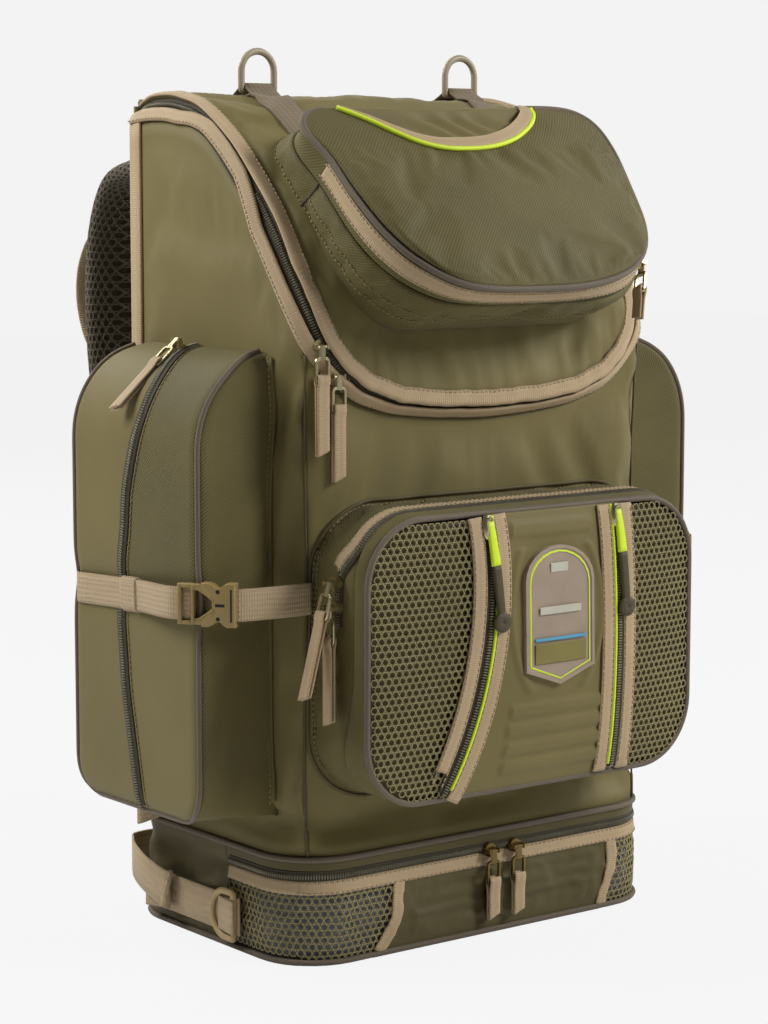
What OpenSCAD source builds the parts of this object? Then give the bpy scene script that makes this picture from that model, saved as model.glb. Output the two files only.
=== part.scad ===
// Tackle backpack: a sewn pack with a hood lid, a lid pocket, a front pocket,
// two side pockets and a zipped base compartment.
// Millimetres, +Z up, the front faces -Y, the origin is under the middle of the base.

/* [Body] */
// Width between the side seams
body_w = 280; // [270:2:290]
// Depth from the front panel to the back panel
body_d = 185; // [180:1:192]
// Height of the flat top of the lid
pack_h = 540; // [532:2:556]
// Thickness of a padded fabric panel
panel_t = 4; // [3:0.5:5]
// Thickness of the stiff sheet inside the back
sheet_t = 2; // [1:0.5:3]
// Thickness of the crowned back pads
pad_t = 12; // [8:1:14]

/* [Base] */
// Height of the base compartment
base_h = 70; // [67:1:74]
// Step by which the base stands out from the body
base_out = 10; // [8:1:12]
// Corner radius of the base in plan
base_r = 40; // [37:1:44]
// Thickness of the base board
board_t = 5; // [4:0.5:6]
// Height of the band above the base zipper
rim_h = 11; // [9:0.5:12]
// Gap that the base zipper closes
base_gap = 6; // [5:0.5:7]
// Half width of the plain middle of the base flap
flap_half = 90; // [84:1:94]

/* [Lid] */
// Thickness of the lid
lid_t = 5; // [4:0.5:6]
// Depth of the flat top before the slope
lid_flat = 74; // [70:1:78]
// Height where the slope meets the front
lid_brow = 418; // [412:1:424]
// Height of the lower edge of the tongue
tongue_z = 346; // [342:1:352]
// Corner radius of the tongue
tongue_r = 75; // [70:1:80]
// Rounding where the slope starts and ends
lid_round = 30; // [26:1:34]
// Gap that the mouth zipper closes
zip_gap = 10; // [9.5:0.5:11]

/* [Lid pocket] */
// Width of the lid pocket
lid_pocket_w = 224; // [212:2:232]
// Length of the lid pocket from its top edge to its foot
lid_pocket_l = 143; // [136:1:150]
// Distance of the face of the lid pocket from the slope
lid_pocket_out = 50; // [45:1:54]
// Depth of the zipped cover of the lid pocket
lid_cover_h = 20; // [16:1:24]
// Rounding of the lower corners of the lid pocket
lid_pocket_r = 50; // [44:1:56]
// Width of the slot near the top of the lid pocket
slot_w = 150; // [140:2:160]

/* [Side pockets] */
// Distance that a side pocket stands out from the body
side_out = 60; // [54:1:66]
// Depth of a side pocket from front to back
side_d = 151; // [144:1:156]
// Height of a side pocket
side_h = 290; // [280:2:300]
// Gap between the base and the foot of a side pocket
side_lift = 22; // [18:1:26]
// Distance of a side pocket behind the front panel
side_set = 14.5; // [12:0.5:18]
// Rounding of the top rear corner of a side pocket
side_r = 58; // [50:1:64]
// Rounding of the standing edges of a side pocket in plan
side_edge_r = 22; // [18:1:25]
// Thickness of pocket fabric with its lining
pocket_t = 3; // [2:0.5:4]

/* [Front pocket] */
// Width of the front pocket
front_w = 268; // [258:2:276]
// Height of the front pocket
front_h = 180; // [174:1:186]
// Gap between the base and the foot of the front pocket
front_lift = 37; // [33:1:40]
// Corner radius of the front pocket
front_r = 42; // [38:1:46]
// Depth of the sewn part of the front pocket
front_gusset = 30; // [26:1:33]
// Depth of the zipped door of the front pocket
front_door = 25; // [21:1:28]
// Border of the door around its mesh panels
door_border = 9; // [8:0.5:12]
// Spacing of the gaps in a mesh panel
net_pitch = 13; // [12:0.5:15]
// Width of a gap in a mesh panel
net_hole = 9.5; // [8:0.5:10]
// Thickness of mesh fabric
net_t = 2; // [1.5:0.5:3]
// Width of the badge
badge_w = 56; // [48:1:62]
// Height of the badge
badge_h = 88; // [78:1:94]

/* [Straps] */
// Width of the side strap webbing
web_w = 20; // [18:0.5:22]
// Thickness of webbing
web_t = 1.5; // [1.2:0.1:2]
// Height of the side strap above the ground
strap_z = 232; // [222:2:242]
// Turn of the buckle around the corner of the side pocket, in degrees
buckle_turn = 38; // [30:1:42]
// Width of a shoulder strap
shoulder_w = 62; // [56:1:66]
// Thickness of a shoulder strap
shoulder_t = 15; // [12:1:17]
// Distance of a shoulder strap from the middle of the back
shoulder_x = 108; // [104:1:110]
// Width of the wide webbing of the base and shoulder straps
wide_web = 25; // [22:0.5:27]

/* [Hardware] */
// Radius of the D-ring wire
wire_r = 1.75; // [1.5:0.05:2]
// Width of a slider
slider_w = 9; // [8:0.25:9]
// Height of a slider body
slider_t = 4; // [3:0.25:4.5]
// Width of a pull tape
tape_w = 10; // [9:0.25:10.5]
// Length of a metal pull tab
tab_l = 22; // [19:1:24]

/* [Hidden] */
$fn = 48;

olive = [0.46, 0.43, 0.31];
dark_olive = [0.33, 0.31, 0.21];
tan = [0.66, 0.58, 0.46];
khaki = [0.58, 0.53, 0.40];
brass = [0.78, 0.72, 0.55];
lime = [0.75, 0.9, 0.12];
black = [0.12, 0.12, 0.11];
grey = [0.42, 0.42, 0.4];

// Clearance between pieces that move against each other
fit = 0.3;
// Overlap that lets a cut run clear through a wall
eps = 1;
// Steps in a rounded corner
steps = 8;

// Planes of the body and the base
xs = body_w/2;
yf = -body_d/2;
yb = body_d/2;
bx = xs + base_out;
by = yf - base_out;
floor_t = panel_t;
rim_z = base_h - rim_h;
flap_z = board_t + fit;
flap_h = rim_z - base_gap - flap_z;
flap_y = by + base_r*(1 - cos(45));

// Lid outline from the back edge to the foot of the tongue, as (y, z)
lid_y = yf - lid_t - fit;
lid_half = xs - zip_gap*0.8;
slope_top = [yb - lid_flat, pack_h];
slope_foot = [lid_y, lid_brow];
slope_mid = (slope_top + slope_foot)/2;
slope_deg = atan2(slope_top.y - slope_foot.y, slope_top.x - slope_foot.x);
tongue_c = [lid_half - tongue_r, tongue_z + tongue_r];
mouth_r = tongue_r + zip_gap;
side_drop = lid_t + zip_gap;
lid_gap = 1;
slope_run = unit(slope_top - slope_foot);
slope_out = [-slope_run.y, slope_run.x];

// Lid pocket: its walls stand forward at pocket_deg, and its face lies along the slope
pocket_deg = 65;
skew = pocket_deg - slope_deg;
lid_pocket_foot = -lid_pocket_l*0.72;
lid_pocket_top = lid_pocket_foot + lid_pocket_l;
lid_zip_h = lid_pocket_out - lid_cover_h;
slot_gap = 12;
slot_sag = 12;
slot_r = (slot_w*slot_w/4 + slot_sag*slot_sag)/(2*slot_sag);
slot_t = lid_pocket_top/cos(skew) - lid_pocket_out*tan(skew) - slot_gap - slot_sag - 2*pocket_t;

// Side pocket planes, for the right-hand pocket
py0 = yf + side_set;
py1 = py0 + side_d;
pz0 = base_h + side_lift;
pz1 = pz0 + side_h;
px1 = xs + side_out;
crown_r = side_out - 2;
crown_c = [px1 - crown_r, pz1 - crown_r];
foot_r = 24;
head_r = 20;
side_lip = side_edge_r - 4;

// Front pocket planes
fz0 = base_h + front_lift;
fz1 = fz0 + front_h;
fx = front_w/2;
gusset_in = pocket_t*0.7;
gusset_y = yf - front_gusset;
door_y0 = gusset_y - fit;
door_y1 = door_y0 - front_door;
zip_top = [-42, fz1];
zip_foot = [-76, fz0];
zip_bow = 13;
zip_half = (norm(zip_top - zip_foot))/2;
zip_r = (zip_half*zip_half + zip_bow*zip_bow)/(2*zip_bow);
zip_dir = (zip_top - zip_foot)/norm(zip_top - zip_foot);
zip_c = (zip_top + zip_foot)/2 + [-zip_dir.y, zip_dir.x]*(zip_r - zip_bow);
zip_right = 64;
zip_tape = 8;
net_rim = 1.5;
badge_x = 12;
badge_t = 3;
badge_z = fz0 + front_h*0.36;

// Buckle, measured along the webbing from the joint line
socket_l = 22;
socket_w = web_w + 7;
socket_t = 9;
clip_l = 22;
clip_w = web_w + 5;
clip_t = 7;
prong_l = 14.5;
prong_t = 4;
buckle_off = side_edge_r + socket_t/2 + 0.6;
buckle_u = [-sin(buckle_turn), -cos(buckle_turn)];
buckle_n = [cos(buckle_turn), -sin(buckle_turn)];
buckle_p = [px1 - side_edge_r, py0 + side_edge_r] + buckle_n*buckle_off;
strap_end = buckle_p - buckle_u*(clip_l + fit) - buckle_n*(clip_t/2 + web_t + fit);

// Slider and pull, measured from the bar the pull swings on
bar_r = 0.9;
bar_h = 3;
lug_t = 1;
lug_x = 3.4;
knuckle_r = 1.9;
knuckle_w = 5.4;
bar_up = bar_h + slider_t + fit;
tab_t = 1.4;
tape_t = 2.4;
neck_l = 6;

// D-rings and the webbing loops that hold them
ring_w = web_w + 2*wire_r + 1.5;
ring_h = 25;
base_ring_w = wide_web + 2*wire_r + 1.5;
base_ring_h = 24;
loop_bore = wire_r + fit;
loop_r = loop_bore + web_t;
top_ring_y = slope_top.x + lid_round*tan(slope_deg/2);
top_ring_x = 84;
lid_strap_y = slope_point(lid_pocket_top/cos(skew) + 2*web_t, 0).x;
top_ring_z = pack_h + loop_r + fit;
base_ring_x = bx + 7.5;
base_ring_y = -42;
base_strap_z = 24;

// Shoulder straps
adjust_y = yb + 14;
adjust_z = rim_z + rim_h/2;
adjust_h = 28;
adjust_w = wide_web + 9;
adjust_t = 5;
adjust_bar = 1.6;
shoulder_foot = 190;
shoulder_head = pack_h - 46;

// Lid slider stations on the rounded corners of the mouth
lid_track = tongue_r + zip_gap/2;
upper_deg = 206;
lower_deg = 222;

// Lid pocket slider station on its lower right corner
lid_pocket_deg = -25;

// Side pocket slider station on the crown, in degrees from the top
side_slide_deg = 18;
side_lie = acos((crown_r + tape_t/2 + 2*fit)/(crown_r + bar_up));

// Lengths of the folded pull tapes
tape_lid = 52;
tape_lid_pocket = 28;
tape_side = 48;
tape_front = 58;
tape_base = 30;

// Front pocket and base slider stations
front_upper_z = fz1 - front_r;
front_lower_z = front_upper_z - 15;
front_lie = 15;
base_left_x = 0;
base_right_x = 21;

function unit(v) = v/norm(v);

function arc(c, r, a0, a1) = r <= 0 ? [c] :
    [for (i = [0:steps]) let (a = a0 + (a1 - a0)*i/steps) c + r*[cos(a), sin(a)]];

function reverse(p) = [for (i = [len(p) - 1:-1:0]) p[i]];

// Rounded rectangle; r lists lower left, lower right, upper right, upper left
function rrect(x0, x1, y0, y1, r) = concat(
    arc([x0 + r[0], y0 + r[0]], r[0], 180, 270),
    arc([x1 - r[1], y0 + r[1]], r[1], 270, 360),
    arc([x1 - r[2], y1 - r[2]], r[2], 0, 90),
    arc([x0 + r[3], y1 - r[3]], r[3], 90, 180));

// Corner b of the path a, b, c moved in by d
function inset_corner(a, b, c, d) =
    let (u = unit(a - b), v = unit(c - b), h = acos(u*v)/2) b + unit(u + v)*d/sin(h);

// Rounding of radius r at corner b of the path a, b, c
function fillet(a, b, c, r) =
    let (u = unit(a - b), v = unit(c - b), h = acos(u*v)/2)
    let (o = b + unit(u + v)*r/sin(h), s = b + u*r/tan(h) - o, e = b + v*r/tan(h) - o)
    let (a0 = atan2(s.y, s.x), sweep = ((atan2(e.y, e.x) - a0 + 540) % 360) - 180)
    arc(o, r, a0, a0 + sweep);

// The lid outline moved in by d, from the back edge to the foot of the tongue
function lid_path(d) =
    let (back = [yb, pack_h], foot = [lid_y, tongue_z])
    let (p1 = inset_corner(back, slope_top, slope_foot, d))
    let (p2 = inset_corner(slope_top, slope_foot, foot, d))
    concat([back - [0, d]], fillet(back - [0, d], p1, p2, lid_round - d),
        fillet(p1, p2, foot + [d, 0], lid_round - d), [foot + [d, 0]]);

// The top line of a side, moved in by d from the lid outline and ending at plane y
function side_path(d, y) =
    let (back = [yb, pack_h], p1 = inset_corner(back, slope_top, slope_foot, d))
    let (run = unit(slope_foot - slope_top), foot = p1 + run*(y - p1.x)/run.x)
    concat(fillet(back - [0, d], p1, foot, lid_round - d), [foot]);

// The U of the tongue moved out by d, from the right-hand side to the left, as (x, z)
function tongue_path(d, x) =
    let (r = tongue_r + d, a = -acos(min(1, (x - tongue_c.x)/r)))
    concat(arc(tongue_c, r, a, -90), arc([-tongue_c.x, tongue_c.y], r, -90, -180 - a));

// A strip of thickness t along a path
function strip_side(p, s) = [for (i = [0:len(p) - 1])
    let (a = unit(p[i] - p[max(i - 1, 0)] + (i == 0 ? p[1] - p[0] : [0, 0])))
    let (b = unit(p[min(i + 1, len(p) - 1)] - p[i] + (i == len(p) - 1 ? a : [0, 0])))
    let (m = unit([-a.y - b.y, a.x + b.x])) p[i] + m*s/(m*[-a.y, a.x])];

function strip(p, t) = concat(strip_side(p, t/2), reverse(strip_side(p, -t/2)));

// Draw a (y, z) outline between planes x0 and x1
module in_yz(x0, x1) {
    translate([x0, 0, 0]) rotate([90, 0, 90]) linear_extrude(x1 - x0) children();
}

// Draw an (x, z) outline between planes y0 and y1
module in_xz(y0, y1) {
    translate([0, y1, 0]) rotate([90, 0, 0]) linear_extrude(y1 - y0) children();
}

// Draw an (x, y) outline between heights z0 and z1
module in_xy(z0, z1) {
    translate([0, 0, z0]) linear_extrude(z1 - z0) children();
}

module box(p, q) {
    translate(p) cube(q - p);
}

module flip(side) {
    mirror([side < 0 ? 1 : 0, 0, 0]) children();
}

module base_plan(d) {
    r = base_r - d;
    polygon(rrect(-bx + d, bx - d, by + d, yb - d, [r, r, r, r]));
}

module base_ring(t) {
    difference() {
        base_plan(0);
        base_plan(t);
    }
}

module base_board() {
    color(black) in_xy(0, board_t) base_plan(0);
}

module base_wall() {
    color(olive) in_xy(board_t, rim_z) difference() {
        base_ring(panel_t);
        translate([-bx - eps, by - eps]) square([2*bx + 2*eps, flap_y + fit - by + eps]);
    }
}

module base_rim() {
    color(dark_olive) in_xy(rim_z, base_h) base_ring(panel_t);
}

module divider_floor() {
    color(grey) in_xy(base_h - floor_t, base_h) base_plan(panel_t);
}

module flap_plan(t) {
    intersection() {
        base_ring(t);
        translate([-bx, by]) square([2*bx, flap_y - by]);
    }
}

module base_flap_panel() {
    color(olive) in_xy(flap_z, flap_z + flap_h) intersection() {
        flap_plan(panel_t);
        translate([-flap_half, by]) square([2*flap_half, base_r]);
    }
}

// Six-sided gaps through the corner of the base flap, square to its curve
module corner_gaps() {
    rows = floor((flap_h - net_pitch)/net_pitch);
    turn = net_pitch/base_r*180/PI;
    z0 = flap_z + (flap_h - rows*net_pitch)/2;
    for (row = [0:rows]) {
        for (col = [0:1]) {
            translate([bx - base_r - net_pitch*(col + 0.35), by, z0 + net_pitch*row])
                rotate([90, 0, 0]) cylinder(d = net_hole, h = 4*net_t, center = true, $fn = 6);
        }
        for (col = [0.5:1:1.5]) {
            translate([bx - base_r, by + base_r, z0 + net_pitch*row])
                rotate([90, 0, turn*(col + 0.15)]) translate([0, 0, base_r])
                cylinder(d = net_hole, h = 4*net_t, center = true, $fn = 6);
        }
    }
}

module base_flap_mesh() {
    color(khaki) for (side = [-1, 1]) flip(side) difference() {
        in_xy(flap_z, flap_z + flap_h) intersection() {
            flap_plan(net_t);
            translate([flap_half, by]) square([bx - flap_half, base_r]);
        }
        corner_gaps();
    }
}

module front_panel() {
    color(olive) in_xz(yf, yf + panel_t)
        polygon(concat([[-xs, base_h], [xs, base_h]], tongue_path(zip_gap, xs)));
}

module side_panel() {
    front = yf + panel_t;
    back = yb - panel_t;
    color(olive) in_yz(xs - panel_t, xs) polygon(concat([[front, base_h], [back, base_h],
        [back, pack_h - side_drop]], side_path(side_drop, front)));
}

module side_panel_left() {
    flip(-1) side_panel();
}

module side_panel_right() {
    side_panel();
}

module back_panel() {
    color(dark_olive) box([-xs, yb - panel_t, base_h], [xs, yb, pack_h - lid_t - lid_gap]);
}

module frame_sheet() {
    edge = 20;
    y = yb - panel_t;
    color(black) box([-xs + edge, y - sheet_t, base_h], [xs - edge, y, pack_h - side_drop - edge]);
}

// A pad with a crowned face, between (x0, z0) and (x1, z1)
module pad(x0, x1, z0, z1) {
    low = pad_t*0.45;
    crown = min((x1 - x0), (z1 - z0))*0.22;
    intersection() {
        in_xz(yb, yb + pad_t) polygon(rrect(x0, x1, z0, z1, [crown, crown, crown, crown]));
        in_xy(z0, z1) polygon([[x0, yb], [x1, yb], [x1, yb + low], [x1 - crown, yb + pad_t],
            [x0 + crown, yb + pad_t], [x0, yb + low]]);
        in_yz(x0, x1) polygon([[yb, z0], [yb + low, z0], [yb + pad_t, z0 + crown],
            [yb + pad_t, z1 - crown], [yb + low, z1], [yb, z1]]);
    }
}

module back_pads() {
    inner = 12;
    outer = shoulder_x - shoulder_w/2 - 3;
    foot = base_h + 16;
    waist = 60;
    color(grey) {
        for (side = [-1, 1]) flip(side)
            pad(inner, outer, foot + waist + inner, shoulder_head - shoulder_t - inner);
        pad(-outer, outer, foot, foot + waist);
    }
}

module mouth_zip() {
    front = yf + panel_t;
    color(black) {
        for (side = [-1, 1]) flip(side) in_yz(xs - panel_t/2, xs)
            polygon(concat([[yb - panel_t, pack_h - lid_t - lid_gap]], side_path(lid_t + lid_gap, front),
                reverse(side_path(side_drop, front)), [[yb - panel_t, pack_h - side_drop]]));
        in_xz(yf, yf + panel_t/2) polygon(concat(tongue_path(lid_gap, lid_half + lid_gap/2),
            reverse(tongue_path(zip_gap - fit, lid_half + lid_gap/2))));
    }
}

// The right-hand side pocket as a solid, moved in by d
module side_solid(d) {
    x0 = d > 0 ? xs - eps : xs;
    edge = side_edge_r - d;
    intersection() {
        in_yz(x0, px1) polygon(rrect(py0 + d, py1 - d, pz0 + d, pz1 - d,
            [foot_r - d, foot_r - d, side_r - d, head_r - d]));
        in_xz(py0, py1) polygon(rrect(x0, px1 - d, pz0, pz1 - d, [0, 0, crown_r - d, 0]));
        in_xy(pz0, pz1) polygon(rrect(x0, px1 - d, py0 + d, py1 - d, [0, edge, edge, 0]));
    }
}

module side_gusset() {
    difference() {
        intersection() {
            side_solid(0);
            box([xs, py0, pz0], [px1 - side_lip, py1, pz1]);
        }
        side_solid(pocket_t);
    }
}

module side_face() {
    difference() {
        intersection() {
            side_solid(0);
            box([px1 - side_lip, py0, pz0], [px1, py1, pz1]);
        }
        side_solid(pocket_t);
    }
}

module side_pocket_left_gusset() {
    color(dark_olive) flip(-1) side_gusset();
}

module side_pocket_left_face() {
    color(olive) flip(-1) side_face();
}

module side_pocket_right_gusset() {
    color(dark_olive) side_gusset();
}

module side_pocket_right_face() {
    color(olive) side_face();
}

module front_outline(d) {
    r = front_r - d;
    polygon(rrect(-fx + d, fx - d, fz0 + d, fz1 - d, [r, r, r, r]));
}

module front_pocket_gusset() {
    color(dark_olive) in_xz(gusset_y, yf) difference() {
        front_outline(gusset_in);
        front_outline(gusset_in + pocket_t);
    }
}

// Openings of the door on the left and right of the centre, moved in by d
module window_left(d) {
    intersection() {
        front_outline(door_border + d);
        translate(zip_c) circle(r = zip_r - zip_tape - d, $fn = 120);
    }
}

module window_right(d) {
    intersection() {
        front_outline(door_border + d);
        translate([zip_right + zip_tape + d, fz0]) square([fx, front_h]);
    }
}

module front_pocket_door() {
    color(olive) {
        in_xz(door_y1, door_y1 + pocket_t) difference() {
            front_outline(0);
            window_left(0);
            window_right(0);
        }
        in_xz(door_y1 + pocket_t, door_y0) difference() {
            front_outline(0);
            front_outline(pocket_t);
        }
    }
}

// Is point p inside the door's outline moved in by d
function in_door(p, d) =
    let (x = abs(p.x) - fx + front_r, z = abs(p.y - (fz0 + fz1)/2) - front_h/2 + front_r)
    norm([max(x, 0), max(z, 0)]) <= front_r - d;

// Whole six-sided gaps that fit in the two openings of the door
module net_gaps() {
    rise = net_pitch*sqrt(3)/2;
    keep = net_rim + net_hole/2;
    for (row = [0:floor(front_h/rise)]) {
        for (col = [0:floor(front_w/net_pitch)]) {
            p = [-fx + net_pitch*(col + (row % 2)/2), fz0 + rise*row];
            left = norm(p - zip_c) <= zip_r - zip_tape - keep;
            right = p.x >= zip_right + zip_tape + keep;
            if (in_door(p, door_border + keep) && (left || right)) {
                translate(p) rotate(30) circle(d = net_hole, $fn = 6);
            }
        }
    }
}

module front_pocket_mesh() {
    color(khaki) in_xz(door_y1, door_y1 + net_t) difference() {
        union() {
            window_left(0);
            window_right(0);
        }
        net_gaps();
    }
}

module badge() {
    point = 10;
    r = 18;
    color(tan) in_xz(door_y1 - badge_t, door_y1) translate([badge_x, badge_z])
        polygon(concat([[-badge_w/2, point], [0, 0], [badge_w/2, point]],
            arc([badge_w/2 - r, badge_h - r], r, 0, 90), arc([r - badge_w/2, badge_h - r], r, 90, 180)));
}

// Right-hand side strap: the rear length, its keeper and the front length
module side_strap() {
    lay = web_t/2 + fit;
    keeper = 8;
    keeper_y = 0;
    edge = [px1 - side_edge_r, py1 - side_edge_r];
    rear = concat([[xs, py1 + lay]], arc(edge, side_edge_r + lay, 90, 0), [strap_end]);
    mouth = buckle_p + buckle_u*(socket_l + fit);
    in_xy(strap_z - web_w/2, strap_z + web_w/2) {
        polygon(strip(rear, web_t));
        polygon(strip([mouth, mouth + buckle_u*2*web_t, [xs, yf + panel_t/2]], web_t));
    }
    run = unit(strap_end - (edge + [side_edge_r + lay, 0]));
    mid = edge + [side_edge_r + lay, 0] + run*(edge.y - keeper_y)/(-run.y);
    in_xy(strap_z - web_w/2 - web_t, strap_z + web_w/2 + web_t)
        polygon(strip([mid - run*keeper/2, mid + run*keeper/2], 3*web_t));
}

module compression_straps() {
    color(tan) for (side = [-1, 1]) flip(side) side_strap();
}

module at_buckle() {
    translate([buckle_p.x, buckle_p.y, strap_z]) rotate([0, 0, -90 - buckle_turn]) children();
}

module buckle_socket() {
    wall = 2;
    hold = web_t + 1;
    mouth = prong_l + eps;
    difference() {
        box([fit, -socket_t/2, -socket_w/2], [socket_l, socket_t/2, socket_w/2]);
        box([-eps, wall - socket_t/2, wall - socket_w/2], [mouth, socket_t/2 - wall, socket_w/2 - wall]);
        box([mouth/3, wall - socket_t/2, -socket_w], [mouth*0.8, socket_t/2 - wall, socket_w]);
        box([socket_l - wall - hold, -socket_t, -web_w/2 - fit], [socket_l - wall, socket_t, web_w/2 + fit]);
    }
}

module buckle_sockets() {
    color(khaki) for (side = [-1, 1]) flip(side) at_buckle() buckle_socket();
}

module buckle_clip() {
    hold = web_t + 2;
    pitch = clip_l/3;
    arm = 3.5;
    reach = socket_w/2 - 2 - 2*fit;
    difference() {
        box([-clip_l, -clip_t/2, -clip_w/2], [0, clip_t/2, clip_w/2]);
        for (slot = [1, 2]) {
            box([-pitch*slot - hold/2, -clip_t, -web_w/2 - fit],
                [-pitch*slot + hold/2, clip_t, web_w/2 + fit]);
        }
    }
    for (up = [-1, 1]) {
        translate([-eps, -prong_t/2, up*(reach - arm/2) - arm/2]) cube([prong_l + eps, prong_t, arm]);
    }
    box([-eps, -prong_t/2, -arm/2], [prong_l*0.8, prong_t/2, arm/2]);
}

module buckle_clip_left() {
    color(khaki) flip(-1) at_buckle() buckle_clip();
}

module buckle_clip_right() {
    color(khaki) at_buckle() buckle_clip();
}

// Right-hand shoulder strap: a padded strip bent out from the back
module shoulder_strap() {
    bulge = 76;
    drop = shoulder_head - shoulder_foot;
    half = shoulder_w/2;
    foot_half = wide_web*0.8;
    path = [for (p = [[0, 1], [0.26, 1], [0.68, 0.97], [0.92, 0.87], [1, 0.73], [0.96, 0.56], [0.78, 0.37],
        [0.48, 0.19], [0.26, 0.07], [14/bulge, 0]]) [yb + bulge*p.x, shoulder_foot + drop*p.y]];
    sole = concat(path, [[adjust_y, shoulder_foot - 3*web_t]]);
    intersection() {
        in_yz(shoulder_x - half, shoulder_x + half) polygon(strip(sole, shoulder_t));
        in_xz(yb, yb + 2*bulge) translate([shoulder_x, 0]) polygon([[-foot_half, 0],
            [foot_half, 0], [foot_half, shoulder_foot + drop*0.08], [half, shoulder_foot + drop*0.45],
            [half, pack_h], [-half, pack_h], [-half, shoulder_foot + drop*0.4],
            [-foot_half, shoulder_foot + drop*0.08]]);
    }
}

module shoulder_strap_left() {
    color(dark_olive) flip(-1) shoulder_strap();
}

module shoulder_strap_right() {
    color(dark_olive) shoulder_strap();
}

module shoulder_webbing() {
    half = wide_web/2;
    top = shoulder_foot - 3*web_t;
    tab = 2*web_t;
    color(tan) for (side = [-1, 1]) flip(side) translate([shoulder_x, 0, 0]) {
        box([-half, adjust_y - web_t/2, adjust_z + adjust_h + fit], [half, adjust_y + web_t/2, top]);
        difference() {
            union() {
                translate([-half, adjust_y, adjust_z]) rotate([0, 90, 0])
                    cylinder(r = adjust_bar + fit + web_t, h = wide_web);
                box([-half, yb, adjust_z - tab/2], [half, adjust_y, adjust_z + tab/2]);
            }
            translate([-half - eps, adjust_y, adjust_z]) rotate([0, 90, 0])
                cylinder(r = adjust_bar + fit, h = wide_web + 2*eps);
        }
    }
}

module strap_adjuster() {
    half = adjust_w/2;
    ear = (adjust_w - wide_web)/2 - eps;
    hold = web_t + 2;
    low = 8;
    translate([shoulder_x, adjust_y, adjust_z]) {
        rotate([0, 90, 0]) cylinder(r = adjust_bar, h = adjust_w, center = true);
        for (side = [-1, 1]) {
            translate([side*(half - ear/2) - ear/2, -adjust_t/2, -adjust_bar])
                cube([ear, adjust_t, low + 2*adjust_bar]);
        }
        difference() {
            box([-half, -adjust_t/2, low], [half, adjust_t/2, adjust_h]);
            for (z = [low + hold, adjust_h - 2*hold]) {
                box([-wide_web/2 - fit, -adjust_t, z], [wide_web/2 + fit, adjust_t, z + hold]);
            }
        }
    }
}

module strap_adjuster_left() {
    color(khaki) flip(-1) strap_adjuster();
}

module strap_adjuster_right() {
    color(khaki) strap_adjuster();
}

module haul_handle() {
    t = 2.5;
    half = 36;
    rise = 16;
    lay = yb + t/2;
    path = [[-half - 26, lay], [-half - 12, lay], [-half, lay + rise], [half, lay + rise],
        [half + 12, lay], [half + 26, lay]];
    top = pack_h - lid_t - 2*t;
    color(tan) in_xy(top - wide_web, top) polygon(strip(path, t));
}

// Right-hand base strap: laid back along the base, folded twice, then sewn to the back
module base_strap() {
    fold = 3;
    lay = bx + fit + web_t/2;
    rear = yb - 22;
    front = rear - 34;
    path = concat([[lay, base_ring_y - 6]], arc([lay + fold, rear], fold, 180, 0),
        arc([lay + 3*fold, front], fold, 180, 360), [[lay + 4*fold, yb - 9],
        [bx - base_r/4, yb + fit + web_t/2], [bx - base_r, yb + fit + web_t/2]]);
    in_xy(base_strap_z - wide_web/2, base_strap_z + wide_web/2) polygon(strip(path, web_t));
    difference() {
        union() {
            translate([base_ring_x, base_ring_y, base_strap_z])
                cylinder(r = loop_r, h = wide_web, center = true);
            box([bx, base_ring_y - loop_r - web_t, base_strap_z - wide_web/2],
                [base_ring_x, base_ring_y - loop_bore, base_strap_z + wide_web/2]);
        }
        translate([base_ring_x, base_ring_y, base_strap_z])
            cylinder(r = loop_bore, h = 2*wide_web, center = true);
    }
}

module base_straps() {
    color(tan) for (side = [-1, 1]) flip(side) base_strap();
}

module lid_panel() {
    color(olive) intersection() {
        in_yz(-lid_half, lid_half) polygon(concat(lid_path(0), reverse(lid_path(lid_t))));
        in_xz(lid_y - eps, yb + eps) polygon(concat([[lid_half, pack_h + eps]], tongue_path(0, lid_half),
            [[-lid_half, pack_h + eps]]));
    }
}

// A point t up the slope and h out from it, as (y, z)
function slope_point(t, h) = slope_mid + slope_run*t + slope_out*h;

// The layer between h0 and h1 over the slope
module slope_layer(h0, h1) {
    far = lid_pocket_l + lid_pocket_w;
    in_yz(-lid_pocket_w, lid_pocket_w) polygon([slope_point(-far, h0), slope_point(far, h0),
        slope_point(far, h1), slope_point(-far, h1)]);
}

// Lay out children on the slope: x across, y up the slope, z outwards
module on_slope() {
    translate([0, slope_mid.x, slope_mid.y]) rotate([slope_deg, 0, 0]) children();
}

// Lay out children across the walls of the lid pocket: x across, y up, z along the walls
module across_pocket() {
    translate([0, slope_mid.x, slope_mid.y]) rotate([pocket_deg, 0, 0]) children();
}

// The lid pocket as a prism along its walls, moved in by d
module lid_pocket_prism(d) {
    low = lid_pocket_r - d;
    top = lid_pocket_r/2 - d;
    half = lid_pocket_w/2 - d;
    across_pocket() in_xy(-lid_pocket_out, 3*lid_pocket_out)
        polygon(rrect(-half, half, lid_pocket_foot + d, lid_pocket_top - d, [low, low, top, top]));
}

module lid_pocket_wall() {
    color(dark_olive) difference() {
        intersection() {
            lid_pocket_prism(0);
            slope_layer(-lid_pocket_w, lid_zip_h);
        }
        lid_pocket_prism(pocket_t);
        in_yz(-lid_pocket_w, lid_pocket_w) polygon(concat(lid_path(0), [[yb, tongue_z]]));
    }
}

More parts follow.
